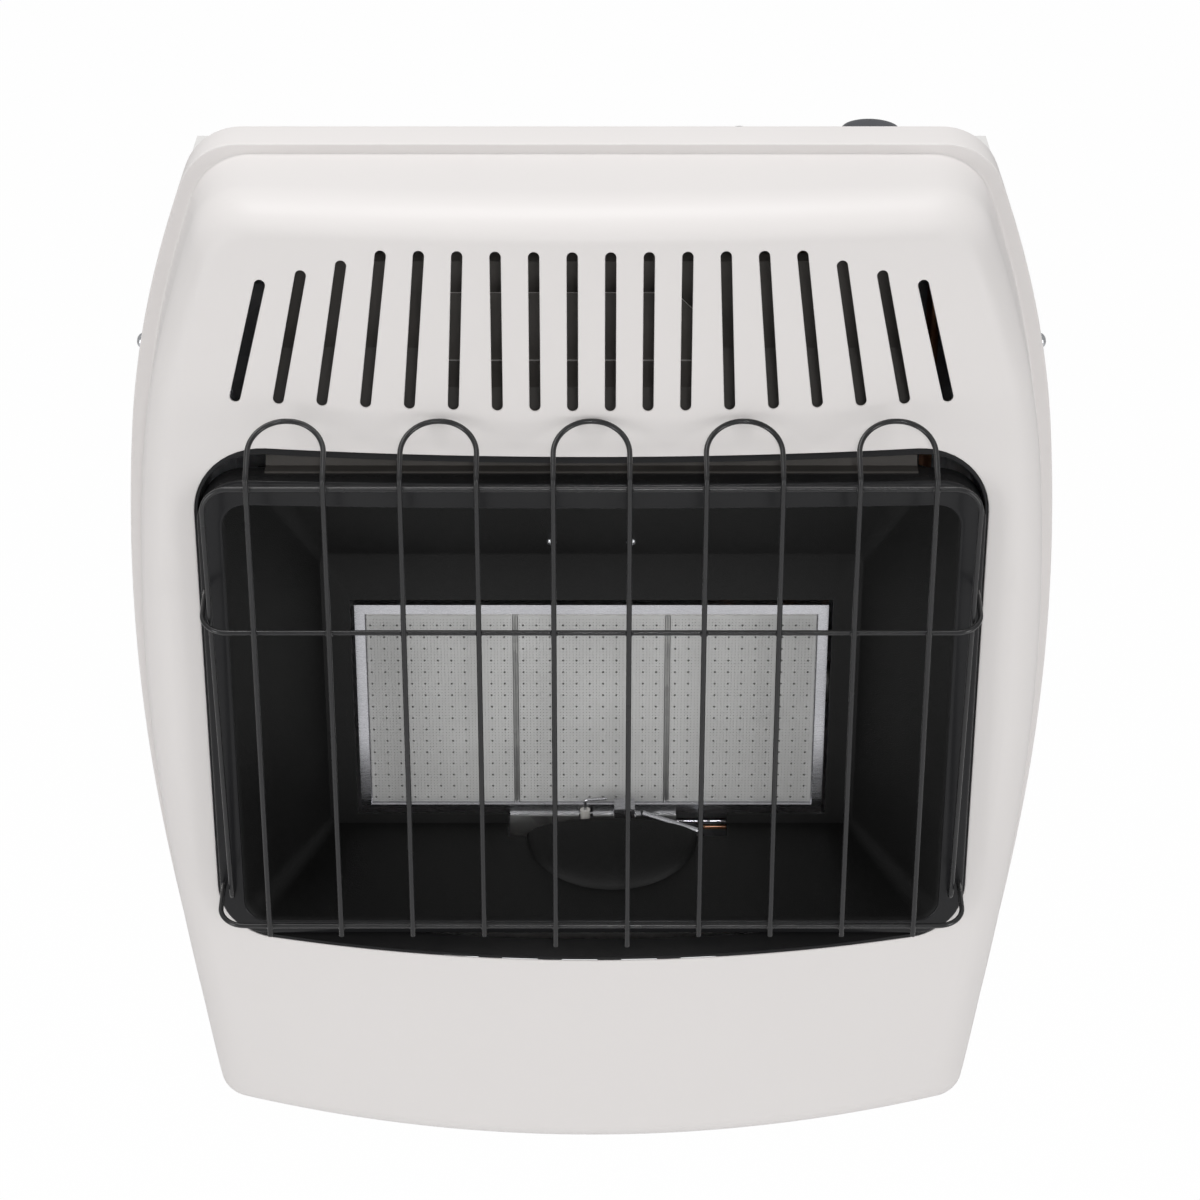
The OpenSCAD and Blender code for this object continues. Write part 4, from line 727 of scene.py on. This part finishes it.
def frameEdge(grow, y, hole=False, bow=None):
    # the frame bows forward in plan, most along its top and not at all along its foot
    f = firebox
    if hole:
        loop = boxLoop(f["holeHalf"] + grow, f["holeTop"] + grow, f["holeBottom"] + grow, f["holeR"] + grow)
    else:
        loop = boxLoop(f["half"] - grow, f["top"] - grow, f["bottom"] - grow, f["outerR"] - grow)
    full = (f["bow"] if bow is None else bow) / (f["top"] + f["bottom"])
    return [(x, y - full * (z + f["bottom"]) * (1 - (x / f["half"]) ** 2), z) for x, z in loop]


def buildFrame():
    f = firebox
    y, t, r = -f["front"], f["sheet"], f["edgeR"]
    arc = [i * pi / 12 for i in range(7)]
    loops = [frameEdge(0, y + f["return"], bow=0)]
    loops += [frameEdge(r * (1 - cos(a)), y + r * (1 - sin(a))) for a in arc]
    loops += [frameEdge(r + 1.2, y), frameEdge(r + 1.2, y, True)]
    loops += [frameEdge(r * (1 - sin(a)), y + t * (1 - cos(a)), True) for a in arc]
    loops += [frameEdge(t + 1, y + t), frameEdge(t, y + t + 1), frameEdge(t, y + f["return"], bow=0)]
    return closeAndTurnOut(addMesh("fireboxFrame", *skinLoops(loops), "frameGlossBlack"))


rideAs(buildFrame(), "gloss_black_enamel", "heater", "firebox_frame")


def linerFloor(y):
    f = firebox
    return -(f["panelBottom"] + (f["holeBottom"] - f["panelBottom"]) * (-y - f["panelFront"])
             / (f["linerFront"] - f["panelFront"]))


def linerRoof(y):
    # up the slope, then level to the mouth, with the crease eased a little
    f = firebox
    slope = f["panelTop"] + (-y - f["panelFront"]) * tan(radians(f["roofSlope"]))
    near = max(0, f["roofEase"] - abs(slope - f["mouthTop"])) / f["roofEase"]
    return min(f["mouthTop"], slope) - near ** 2 * f["roofEase"] / 4


def hoodShell(wall, drop):
    # a quarter of an ellipsoid standing on the sloping floor, closed below by a skirt
    f = firebox
    backY = -f["panelFront"] - f["notchDepth"] + (1 if wall else 0)
    turns, rises = 36, 12
    rows = []
    for j in range(rises + 1):
        e = pi / 2 * j / rises
        row = []
        for i in range(turns + 1):
            a = pi * i / turns
            y = backY - (f["hoodDepth"] - wall) * sin(a) * cos(e)
            row.append((f["hoodX"] - (f["hoodWidth"] / 2 - wall) * cos(a) * cos(e), y,
                        linerFloor(y) + (f["hoodHeight"] - wall) * sin(e)))
        rows.append(row)
    rows.insert(0, [(x, y, z - drop) for x, y, z in rows[0]])
    verts = [point for row in rows for point in row]
    wide = turns + 1
    faces = [(j * wide + i, j * wide + i + 1, (j + 1) * wide + i + 1, (j + 1) * wide + i)
             for j in range(len(rows) - 1) for i in range(turns)]
    faces.append(tuple(range(wide)))
    faces.append(tuple([0] + [j * wide for j in range(1, len(rows))]
                       + [j * wide + turns for j in range(len(rows) - 2, -1, -1)]))
    return verts, faces


def cutWith(obj, verts, faces, operation):
    tool = closeAndTurnOut(addMesh("cutter", verts, faces, "linerGrain"))
    change = obj.modifiers.new("cut", "BOOLEAN")
    change.operation = operation
    change.solver = "EXACT"
    change.object = tool
    applyModifiers(obj)
    bpy.data.objects.remove(tool)


def boxShape(low, high):
    verts = [(x, y, z) for z in (low[2], high[2]) for y in (low[1], high[1]) for x in (low[0], high[0])]
    return verts, [(0, 2, 3, 1), (4, 5, 7, 6), (0, 1, 5, 4), (2, 6, 7, 3), (0, 4, 6, 2), (1, 3, 7, 5)]


def buildLiner():
    f = firebox
    t, front, back = f["sheet"], -f["linerFront"], -f["panelFront"]
    flange = boxLoop(f["holeHalf"] + f["flange"], f["mouthTop"] + f["mouthLip"], f["holeBottom"] + f["flange"],
                     f["holeR"] + f["flange"])
    window = boxLoop(f["windowHalf"], f["windowTop"], f["windowBottom"], 1)

    def wallLoop(share, out):
        # a loop of the sloping walls: share 0 at the panel, 1 at the mouth
        def between(a, b):
            return f[a] + (f[b] - f[a]) * share + out
        y = back + (front - back) * share
        return atY(boxLoop(between("panelHalf", "holeHalf"), linerRoof(y) + out, between("panelBottom", "holeBottom"),
                           between("panelR", "holeR") - out), y)

    crease = (f["mouthTop"] - f["panelTop"]) / tan(radians(f["roofSlope"])) / (f["linerFront"] - f["panelFront"])
    stops = [0, 0.02, 0.05, 0.2, 0.4, 0.6] + [crease + k * 0.004 for k in (-5, -3, -1.5, 0, 1.5, 3, 5)]
    stops += [0.85, 0.96, 0.985]
    inner = [wallLoop(s, 0) for s in reversed(stops)]
    outer = [wallLoop(s, t) for s in (0, 0.2, 0.4, 0.6, crease, 0.85, 0.985)]
    loops = [atY(flange, front + t), atY(flange, front), wallLoop(1, 0.8)] + inner
    loops += [atY(window, back), atY(window, back + t)] + [[(x, y + t, z) for x, y, z in outer[0]]] + outer[1:]
    obj = closeAndTurnOut(addMesh("fireboxLiner", *skinLoops(loops), "linerGrain"))
    cutWith(obj, *hoodShell(0, 1), "UNION")
    cutWith(obj, *boxShape((f["notchLeft"], back - f["notchDepth"], -f["panelBottom"] - 10),
                           (f["notchRight"], back + 5, 1 - f["windowBottom"])), "DIFFERENCE")
    cutWith(obj, *hoodShell(t, 5), "DIFFERENCE")
    return closeAndTurnOut(obj)


rideAs(buildLiner(), "matt_black_enamel", "heater", "firebox_liner")
print("firebox is in")

# screws

coverScrew = {"headR": 4.4, "headH": 3.0, "recess": 4.4, "slit": 1.0, "depth": 1.1, "heights": (181, -206), "y": -90}
linerScrew = {"headR": 3.2, "headH": 1.9, "recess": 3.4, "slit": 0.8, "depth": 0.8, "x": 24, "y": -109.5}


def combined(tree, x=0.0, y=0.0, z=0.0):
    return addNode(tree, "ShaderNodeCombineXYZ", {0: x, 1: y, 2: z}).outputs[0]


def madeReal(tree, instances):
    return addNode(tree, "GeometryNodeRealizeInstances", {0: instances}).outputs[0]


def paintAll(tree, out, geometry, material):
    paint = addNode(tree, "GeometryNodeSetMaterial", {"Geometry": geometry, "Material": material})
    tree.links.new(paint.outputs[0], out.inputs[0])


def makeScrewTree():
    tree, given, out = newTree("crossScrews", [
        ("Head Radius", "Float", 0.004), ("Head Height", "Float", 0.003),
        ("Recess Span", "Float", 0.004), ("Slit Width", "Float", 0.001),
        ("Recess Depth", "Float", 0.001), ("Metal", "Material", None)])
    points, radius, height, span, slit, depth, steel = given.outputs[:7]
    ball = addNode(tree, "GeometryNodeMeshUVSphere", {"Segments": 32, "Rings": 20, "Radius": 1.0})
    dome = {"Geometry": ball.outputs["Mesh"], "Scale": combined(tree, radius, radius, height)}
    head = addNode(tree, "GeometryNodeTransform", dome).outputs[0]
    # the lower half goes first, then the two slits of the cross
    double, deep = times(tree, radius, 4.0), times(tree, depth, 2.0)
    cutters = [(combined(tree, double, double, double), times(tree, radius, -2.0)),
               (combined(tree, span, slit, deep), height), (combined(tree, slit, span, deep), height)]
    for size, z in cutters:
        block = addNode(tree, "GeometryNodeMeshCube", {"Size": size})
        raised = {"Geometry": block.outputs["Mesh"], "Translation": combined(tree, z=z)}
        tool = addNode(tree, "GeometryNodeTransform", raised).outputs[0]
        head = addNode(tree, "GeometryNodeMeshBoolean", {"Mesh 1": head, "Mesh 2": tool}, operation="DIFFERENCE",
                       solver="EXACT").outputs["Mesh"]
    axis = addNode(tree, "GeometryNodeInputNamedAttribute", {"Name": "axis"}, data_type="FLOAT_VECTOR")
    turned = addNode(tree, "FunctionNodeAlignRotationToVector", {"Vector": axis.outputs["Attribute"]}, axis="Z")
    place = addNode(tree, "GeometryNodeInstanceOnPoints",
                    {"Points": points, "Instance": head, "Rotation": turned.outputs["Rotation"]})
    paintAll(tree, out, madeReal(tree, place.outputs[0]), steel)
    return tree


screwTree = makeScrewTree()


def buildScrews(name, spots, size):
    obj = addMesh(name, [spot for spot, _ in spots], [], "screwSteel")
    axis = obj.data.attributes.new("axis", "FLOAT_VECTOR", "POINT")
    for item, (_, direction) in zip(axis.data, spots):
        item.vector = direction
    runTree(obj, screwTree, Head_Radius=size["headR"] * mm, Head_Height=size["headH"] * mm,
            Recess_Span=size["recess"] * mm, Slit_Width=size["slit"] * mm, Recess_Depth=size["depth"] * mm,
            Metal=finish["screwSteel"])
    smoothBelow(obj, 40)
    return obj


def coverScrewSpots():
    spots = []
    for side in (-1, 1):
        for z in coverScrew["heights"]:
            lean = atan((sideX(z - 1) - sideX(z + 1)) / 2)
            spots.append(((side * (sideX(z) + 0.05 * cos(lean)), coverScrew["y"], z), (side * cos(lean), 0, sin(lean))))
    return spots


def linerScrewSpots():
    down = Vector((0, -tan(radians(firebox["roofSlope"])), -1)).normalized()
    x, y = linerScrew["x"], linerScrew["y"]
    return [((side * x, y + down.y * 0.05, linerRoof(y) + down.z * 0.05), tuple(down)) for side in (-1, 1)]


rideAs(buildScrews("coverScrews", coverScrewSpots(), coverScrew), "screw_steel", "heater", "cover_screws")
rideAs(buildScrews("linerScrews", linerScrewSpots(), linerScrew), "screw_steel", "heater", "liner_screws")
print("screws are in")

# guard: round bars bent to shape, hairpins in a row

guard = {
    "wire": 3.08, "count": 5, "pitch": 43, "legY": -228, "kneeZ": 155.5, "topY": -196.5, "topZ": 177.5, "low": -149,
    "middleExtra": 7.5, "topBarZ": 148.5, "middleBarZ": 57, "bottomBarZ": -144, "barY": -224.8, "sideX": 219.4,
    "crossX": 224.6, "crossBend": 15.5, "kneeBend": 5, "inY": -181, "kneeY": -195, "sideEndZ": -144, "middleEndZ": 65,
    "bottomEndZ": -138, "beadR": 2.0,
}


def makeBarTree():
    tree, given, out = newTree("bentBars", [
        ("Wire Radius", "Float", 0.0016), ("Count", "Int", 1), ("Pitch", "Float", 0.0),
        ("Middle Extra", "Float", 0.0), ("Enamel", "Material", None)])
    corners, wireRadius, count, pitch, extra, paint = given.outputs[:6]
    path = addNode(tree, "GeometryNodeMeshToCurve", {"Mesh": corners})
    bend = addNode(tree, "GeometryNodeInputNamedAttribute", {"Name": "bend"})
    fillet = addNode(tree, "GeometryNodeFilletCurve", {
        "Curve": path.outputs[0], "Radius": bend.outputs["Attribute"], "Count": 14, "Limit Radius": True}, mode="POLY")
    ring = addNode(tree, "GeometryNodeCurvePrimitiveCircle", {"Resolution": 20, "Radius": wireRadius})
    tube = addNode(tree, "GeometryNodeCurveToMesh", {
        "Curve": fillet.outputs[0], "Profile Curve": ring.outputs[0], "Fill Caps": True})
    half = times(tree, addMath(tree, "SUBTRACT", count, 1.0), -0.5)
    row = addNode(tree, "GeometryNodeMeshLine", {
        "Count": count, "Offset": combined(tree, pitch),
        "Start Location": combined(tree, times(tree, half, pitch))})
    place = addNode(tree, "GeometryNodeInstanceOnPoints", {"Points": row.outputs[0], "Instance": tube.outputs[0]})
    # the legs of the middle hairpin reach lower
    where = addNode(tree, "GeometryNodeInputPosition").outputs[0]
    x, y, z = addNode(tree, "ShaderNodeSeparateXYZ", {0: where}).outputs
    footZ, middleHalf = -0.12, 0.03
    low = addMath(tree, "LESS_THAN", z, footZ)
    near = addMath(tree, "LESS_THAN", addMath(tree, "ABSOLUTE", x), middleHalf)
    drop = times(tree, times(tree, low, near), extra)
    lower = combined(tree, z=times(tree, drop, -1.0))
    move = addNode(tree, "GeometryNodeSetPosition", {"Geometry": madeReal(tree, place.outputs[0]), "Offset": lower})
    paintAll(tree, out, move.outputs[0], paint)
    return tree


barTree = makeBarTree()


def barPath(name, points, bends, count=1, pitch=0.0, extra=0.0):
    obj = addMesh(name, points, [], "guardGloss", [(i, i + 1) for i in range(len(points) - 1)])
    bend = obj.data.attributes.new("bend", "FLOAT", "POINT")
    for item, value in zip(bend.data, bends):
        item.value = value * mm
    runTree(obj, barTree, Wire_Radius=guard["wire"] / 2 * mm, Count=count, Pitch=pitch * mm, Middle_Extra=extra * mm,
            Enamel=finish["guardGloss"])
    return obj


def makeBeadTree():
    tree, given, out = newTree("weldBeads", [
        ("Bead Radius", "Float", 0.002), ("Seed", "Int", 7),
        ("Enamel", "Material", None)])
    points, radius, seed, paint = given.outputs[:4]
    ball = addNode(tree, "GeometryNodeMeshIcoSphere", {"Subdivisions": 2, "Radius": radius})
    size = addNode(tree, "FunctionNodeRandomValue", {0: (1.0, 0.62, 0.9), 1: (1.3, 0.75, 1.2), "Seed": seed},
                   data_type="FLOAT_VECTOR")
    place = addNode(tree, "GeometryNodeInstanceOnPoints",
                    {"Points": points, "Instance": ball.outputs[0], "Scale": size.outputs[0]})
    paintAll(tree, out, madeReal(tree, place.outputs[0]), paint)
    return tree


def joinInto(target, others):
    work = bmesh.new()
    work.from_mesh(target.data)
    for other in others:
        work.from_mesh(other.data)
    for face in work.faces:
        face.material_index = 0
    work.to_mesh(target.data)
    work.free()
    for other in others:
        bpy.data.objects.remove(other)


def buildGuard():
    g = guard
    half, legY, barY = g["pitch"] / 2, g["legY"], g["barY"]
    leg = [(-half, legY, g["low"]), (-half, legY, g["kneeZ"]), (-half, g["topY"], g["topZ"])]
    hairpins = barPath("guardHairpins", leg + [(-x, y, z) for x, y, z in reversed(leg)],
                       [0, g["kneeBend"], half - 0.5, half - 0.5, g["kneeBend"], 0], g["count"], 2 * g["pitch"],
                       g["middleExtra"])
    bars = []
    for name, z, endZ, x in (("guardTopBar", g["topBarZ"], g["sideEndZ"], g["sideX"]),
                             ("guardMiddleBar", g["middleBarZ"], g["middleEndZ"], g["crossX"]),
                             ("guardBottomBar", g["bottomBarZ"], g["bottomEndZ"], g["crossX"])):
        end = [(-x, g["inY"], endZ), (-x, g["kneeY"], endZ), (-x, barY, z)]
        bars.append(barPath(name, end + [(-u, v, w) for u, v, w in reversed(end)],
                            [0, g["kneeBend"], g["crossBend"], g["crossBend"], g["kneeBend"], 0]))
    welds = []
    for k in range(2 * g["count"]):
        legX = (k - g["count"] + 0.5) * g["pitch"]
        welds += [(legX, (legY + barY) / 2, z) for z in (g["topBarZ"], g["middleBarZ"], g["bottomBarZ"])]
    beads = addMesh("guardWelds", welds, [], "guardGloss")
    runTree(beads, makeBeadTree(), Bead_Radius=g["beadR"] * mm, Seed=7, Enamel=finish["guardGloss"])
    joinInto(hairpins, bars + [beads])
    hairpins.name = "guardBars"
    smoothBelow(hairpins, 50)
    return hairpins


rideAs(buildGuard(), "guard_enamel", "heater", "guard_top_bar", "guard_middle_bar", "guard_bottom_bar",
       *[f"guard_hairpin_{i + 1}" for i in range(guard["count"])])
print("guard is in")

# control knob

knob = {"x": 164, "y": -46, "z": 281, "r": 20, "h": 17, "notches": 12, "notchR": 3, "notchAt": 21.4, "hollowR": 15,
        "hollow": 7, "spindleR": 4.05, "topWall": 3.9, "notchBlend": 0.35, "notchEase": 1.2}


def knobRing(radius, height, notched):
    k = knob
    ring = []
    steps = k["notches"] * 20
    for i in range(steps):
        a = 2 * pi * i / steps
        off = (a + pi / k["notches"]) % (2 * pi / k["notches"]) - pi / k["notches"]
        rho = radius
        reach = k["notchR"] ** 2 - (k["notchAt"] * sin(off)) ** 2
        if notched and reach > 0:
            deep = k["notchAt"] * cos(off) - sqrt(reach)
            rho = min(radius, deep + k["notchBlend"] * max(0, 1 - (radius - deep) / k["notchEase"]))
        ring.append((k["x"] + rho * cos(a), k["y"] + rho * sin(a), k["z"] + height))
    return ring


def buildKnob():
    k = knob
    r, h = k["r"], k["h"]
    outside = [(r - 0.6, 0, 0), (r - 0.15, 0.25, 0), (r, 0.8, 0), (r - 0.05, 1.8, 0), (r - 0.1, 2.2, 1),
               (r - 0.3, 4, 1), (r - 0.9, 9, 1), (r - 1.5, h - 4, 1), (r - 1.9, h - 2.9, 1), (r - 2.6, h - 1.6, 1),
               (r - 3.4, h - 0.8, 1), (r - 4.6, h - 0.3, 1), (r - 6, h - 0.08, 0), (r - 8, h - 0.02, 0),
               (r - 13, h, 0), (r - 19.8, h, 0)]
    inside = [(r - 19.8, h - k["topWall"], 0), (k["spindleR"], h - k["topWall"], 0), (k["spindleR"], k["hollow"], 0),
              (k["hollowR"] - 0.8, k["hollow"], 0), (k["hollowR"], k["hollow"] - 0.8, 0), (k["hollowR"], 0.4, 0),
              (k["hollowR"] + 0.4, 0, 0)]
    rings = [knobRing(*spec) for spec in outside + inside]
    verts, faces = skinLoops(rings)
    count = len(rings[0])
    top, under = len(outside) - 1, len(outside)
    faces = [f for n, f in enumerate(faces) if n // count != top]
    faces += [tuple(top * count + i for i in range(count)), tuple(under * count + i for i in range(count))]
    obj = closeAndTurnOut(addMesh("gripKnob", verts, faces, "knobPlastic"))
    # a groove across the top marks where the knob points
    low, high = (k["x"] - 0.6, k["y"] + r - 9, k["z"] + h - 0.6), (k["x"] + 0.6, k["y"] + r - 2, k["z"] + h + 2)
    cutWith(obj, *boxShape(low, high), "DIFFERENCE")
    smoothBelow(obj, 38)
    return obj


rideAs(buildKnob(), "knob_plastic", "knob", "control_knob")
print("knob is in")

# ceramic plaques with their flame holes

plaque = {"width": 92, "height": 137, "pitch": 95, "middleZ": -75.3, "front": -85, "thick": 13, "across": 44, "up": 64,
          "stepX": 2.08, "stepZ": 2.08, "every": 4, "fineR": 0.3, "fineDepth": 0.5, "wideR": 0.8, "wideDepth": 3.5}


def makePlaqueTree():
    # fine cells all over the face and a wide holed one at every fourth place
    tree, given, out = newTree("plaqueCells", [
        ("Across", "Int", 10), ("Up", "Int", 10), ("Step X", "Float", 0.002),
        ("Step Z", "Float", 0.002), ("Every", "Int", 4), ("Wide Cell", "Object", None),
        ("Clay", "Material", None)])
    fineCell, across, up, stepX, stepZ, every, wideCell, clay = given.outputs[:8]
    grid = addNode(tree, "GeometryNodeMeshGrid", {"Vertices X": across, "Vertices Y": up})
    where = addNode(tree, "GeometryNodeInputPosition").outputs[0]
    parts = addNode(tree, "ShaderNodeSeparateXYZ", {0: where}).outputs
    hits = []
    for axis, count, step in (("X", across, stepX), ("Y", up, stepZ)):
        span = times(tree, addMath(tree, "SUBTRACT", count, 1.0), step)
        feed(tree, grid.inputs["Size " + axis], span)
        along = addMath(tree, "ADD", parts[axis], times(tree, span, 0.5))
        number = addMath(tree, "ROUND", addMath(tree, "DIVIDE", along, step))
        rest = addMath(tree, "MODULO", addMath(tree, "ADD", number, 0.1), every)
        inputs = {0: rest, 1: 1.1, 2: 0.3}
        hits.append(addNode(tree, "ShaderNodeMath", inputs, operation="COMPARE").outputs[0])
    wide = times(tree, *hits)
    holder = addNode(tree, "GeometryNodeObjectInfo", {"Object": wideCell})
    both = addNode(tree, "GeometryNodeJoinGeometry")
    for cell, chosen in ((fineCell, addMath(tree, "SUBTRACT", 1.0, wide)), (holder.outputs["Geometry"], wide)):
        place = addNode(tree, "GeometryNodeInstanceOnPoints",
                        {"Points": grid.outputs["Mesh"], "Instance": cell, "Selection": chosen})
        tree.links.new(madeReal(tree, place.outputs[0]), both.inputs[0])
    merged = addNode(tree, "GeometryNodeMergeByDistance", {"Geometry": both.outputs[0], "Distance": 0.00002})
    upright = {"Geometry": merged.outputs[0], "Rotation": (pi / 2, 0, 0)}
    paintAll(tree, out, addNode(tree, "GeometryNodeTransform", upright).outputs[0], clay)
    return tree


def plaqueCell(name, r, depth, sides=6):
    # a flat square in X and Y round a hexagonal mouth, with the hole's wall and its end
    a, b, m, d = plaque["stepX"] / 2, plaque["stepZ"] / 2, 4, 4 + sides
    ring = [(r * cos(2 * pi * i / sides), r * sin(2 * pi * i / sides)) for i in range(sides)]
    verts = [(-a, -b, 0), (a, -b, 0), (a, b, 0), (-a, b, 0)]
    verts += [(u, v, 0) for u, v in ring] + [(u * 0.85, v * 0.85, -depth) for u, v in ring]
    faces = [(0, 1, m + 5, m + 4), (1, m, m + 5), (1, 2, m), (2, m + 1, m), (2, 3, m + 2, m + 1), (3, m + 3, m + 2),
             (3, 0, m + 3), (0, m + 4, m + 3)]
    faces += [(m + i, m + (i + 1) % sides, d + (i + 1) % sides, d + i) for i in range(sides)]
    faces.append(tuple(d + i for i in range(sides)))
    return addMesh(name, verts, faces, "plaqueCeramic")


def buildPlaques():
    p = plaque
    tree = makePlaqueTree()
    w, h = p["width"] / 2, p["height"] / 2
    cellW, cellH = p["across"] * p["stepX"] / 2, p["up"] * p["stepZ"] / 2
    wide = plaqueCell("wideCell", p["wideR"], p["wideDepth"])
    for n, x in enumerate((-p["pitch"], 0, p["pitch"])):
        obj = plaqueCell(f"plaque{n + 1}", p["fineR"], p["fineDepth"])
        runTree(obj, tree, Across=p["across"], Up=p["up"], Step_X=p["stepX"] * mm, Step_Z=p["stepZ"] * mm,
                Every=p["every"], Wide_Cell=wide, Clay=finish["plaqueCeramic"])
        obj.data.transform(Matrix.Translation((x * mm, p["front"] * mm, p["middleZ"] * mm)))
        loops = []
        for half, high, y in ((cellW, cellH, 0), (w - 0.4, h - 0.4, 0), (w, h, 0.4), (w, h, p["thick"])):
            loops.append([(x + u * half, p["front"] + y, p["middleZ"] + v * high)
                          for u, v in ((-1, -1), (1, -1), (1, 1), (-1, 1))])
        verts, faces = skinLoops(loops, False)
        faces.append((15, 14, 13, 12))
        joinInto(obj, [addMesh("plaqueRim", verts, faces, "plaqueCeramic")])
        work = bmesh.new()
        work.from_mesh(obj.data)
        bmesh.ops.recalc_face_normals(work, faces=work.faces)
        work.to_mesh(obj.data)
        work.free()
        smoothBelow(obj, 20)
        rideAs(obj, "plaque_ceramic", "heater", f"burner_tile_{n + 1}")
        print("plaque", n + 1, len(obj.data.polygons), "faces")
    bpy.data.objects.remove(wide)


buildPlaques()

# finishes for the frame's own pieces

kept = {
    "caseEnamel": ("case_side_left", "case_side_right", "case_top", "case_bottom"),
    "zincSheet": ("case_back", "wall_bracket", "side_shield_left", "side_shield_right", "burner_supports",
                  "regulator_shelf"),
    "darkSheet": ("heat_deflector",),
    "baffleSheet": ("slot_baffle",),
    "burnerSteel": ("burner_box", "tile_dividers", "mixing_tube", "pilot_bracket"),
    "brightSteel": ("burner_trim", "pilot_burner", "pilot_tube", "thermocouple_tip", "spark_wire"),
    "screwSteel": ("valve_nut", "valve_spindle", "igniter_nut", "pilot_screws"),
    "fibreFelt": ("tile_gasket",),
    "glazedSleeve": ("spark_electrode",),
    "turnedBrass": ("injector", "spindle_collar"),
    "drawnCopper": ("burner_supply_tube", "gas_feed_tube", "thermocouple"),
    "castAlloy": ("gas_valve", "gas_regulator"),
    "buttonPlastic": ("igniter_body", "igniter_button"),
    "leadRubber": ("ignition_lead",),
}
for name, pieces in kept.items():
    for piece in pieces:
        slots = nodes[piece].material_slots
        for entry in slots:
            entry.material = finish[name]
        if not len(slots):
            print("  no slot on", piece)

print("done")
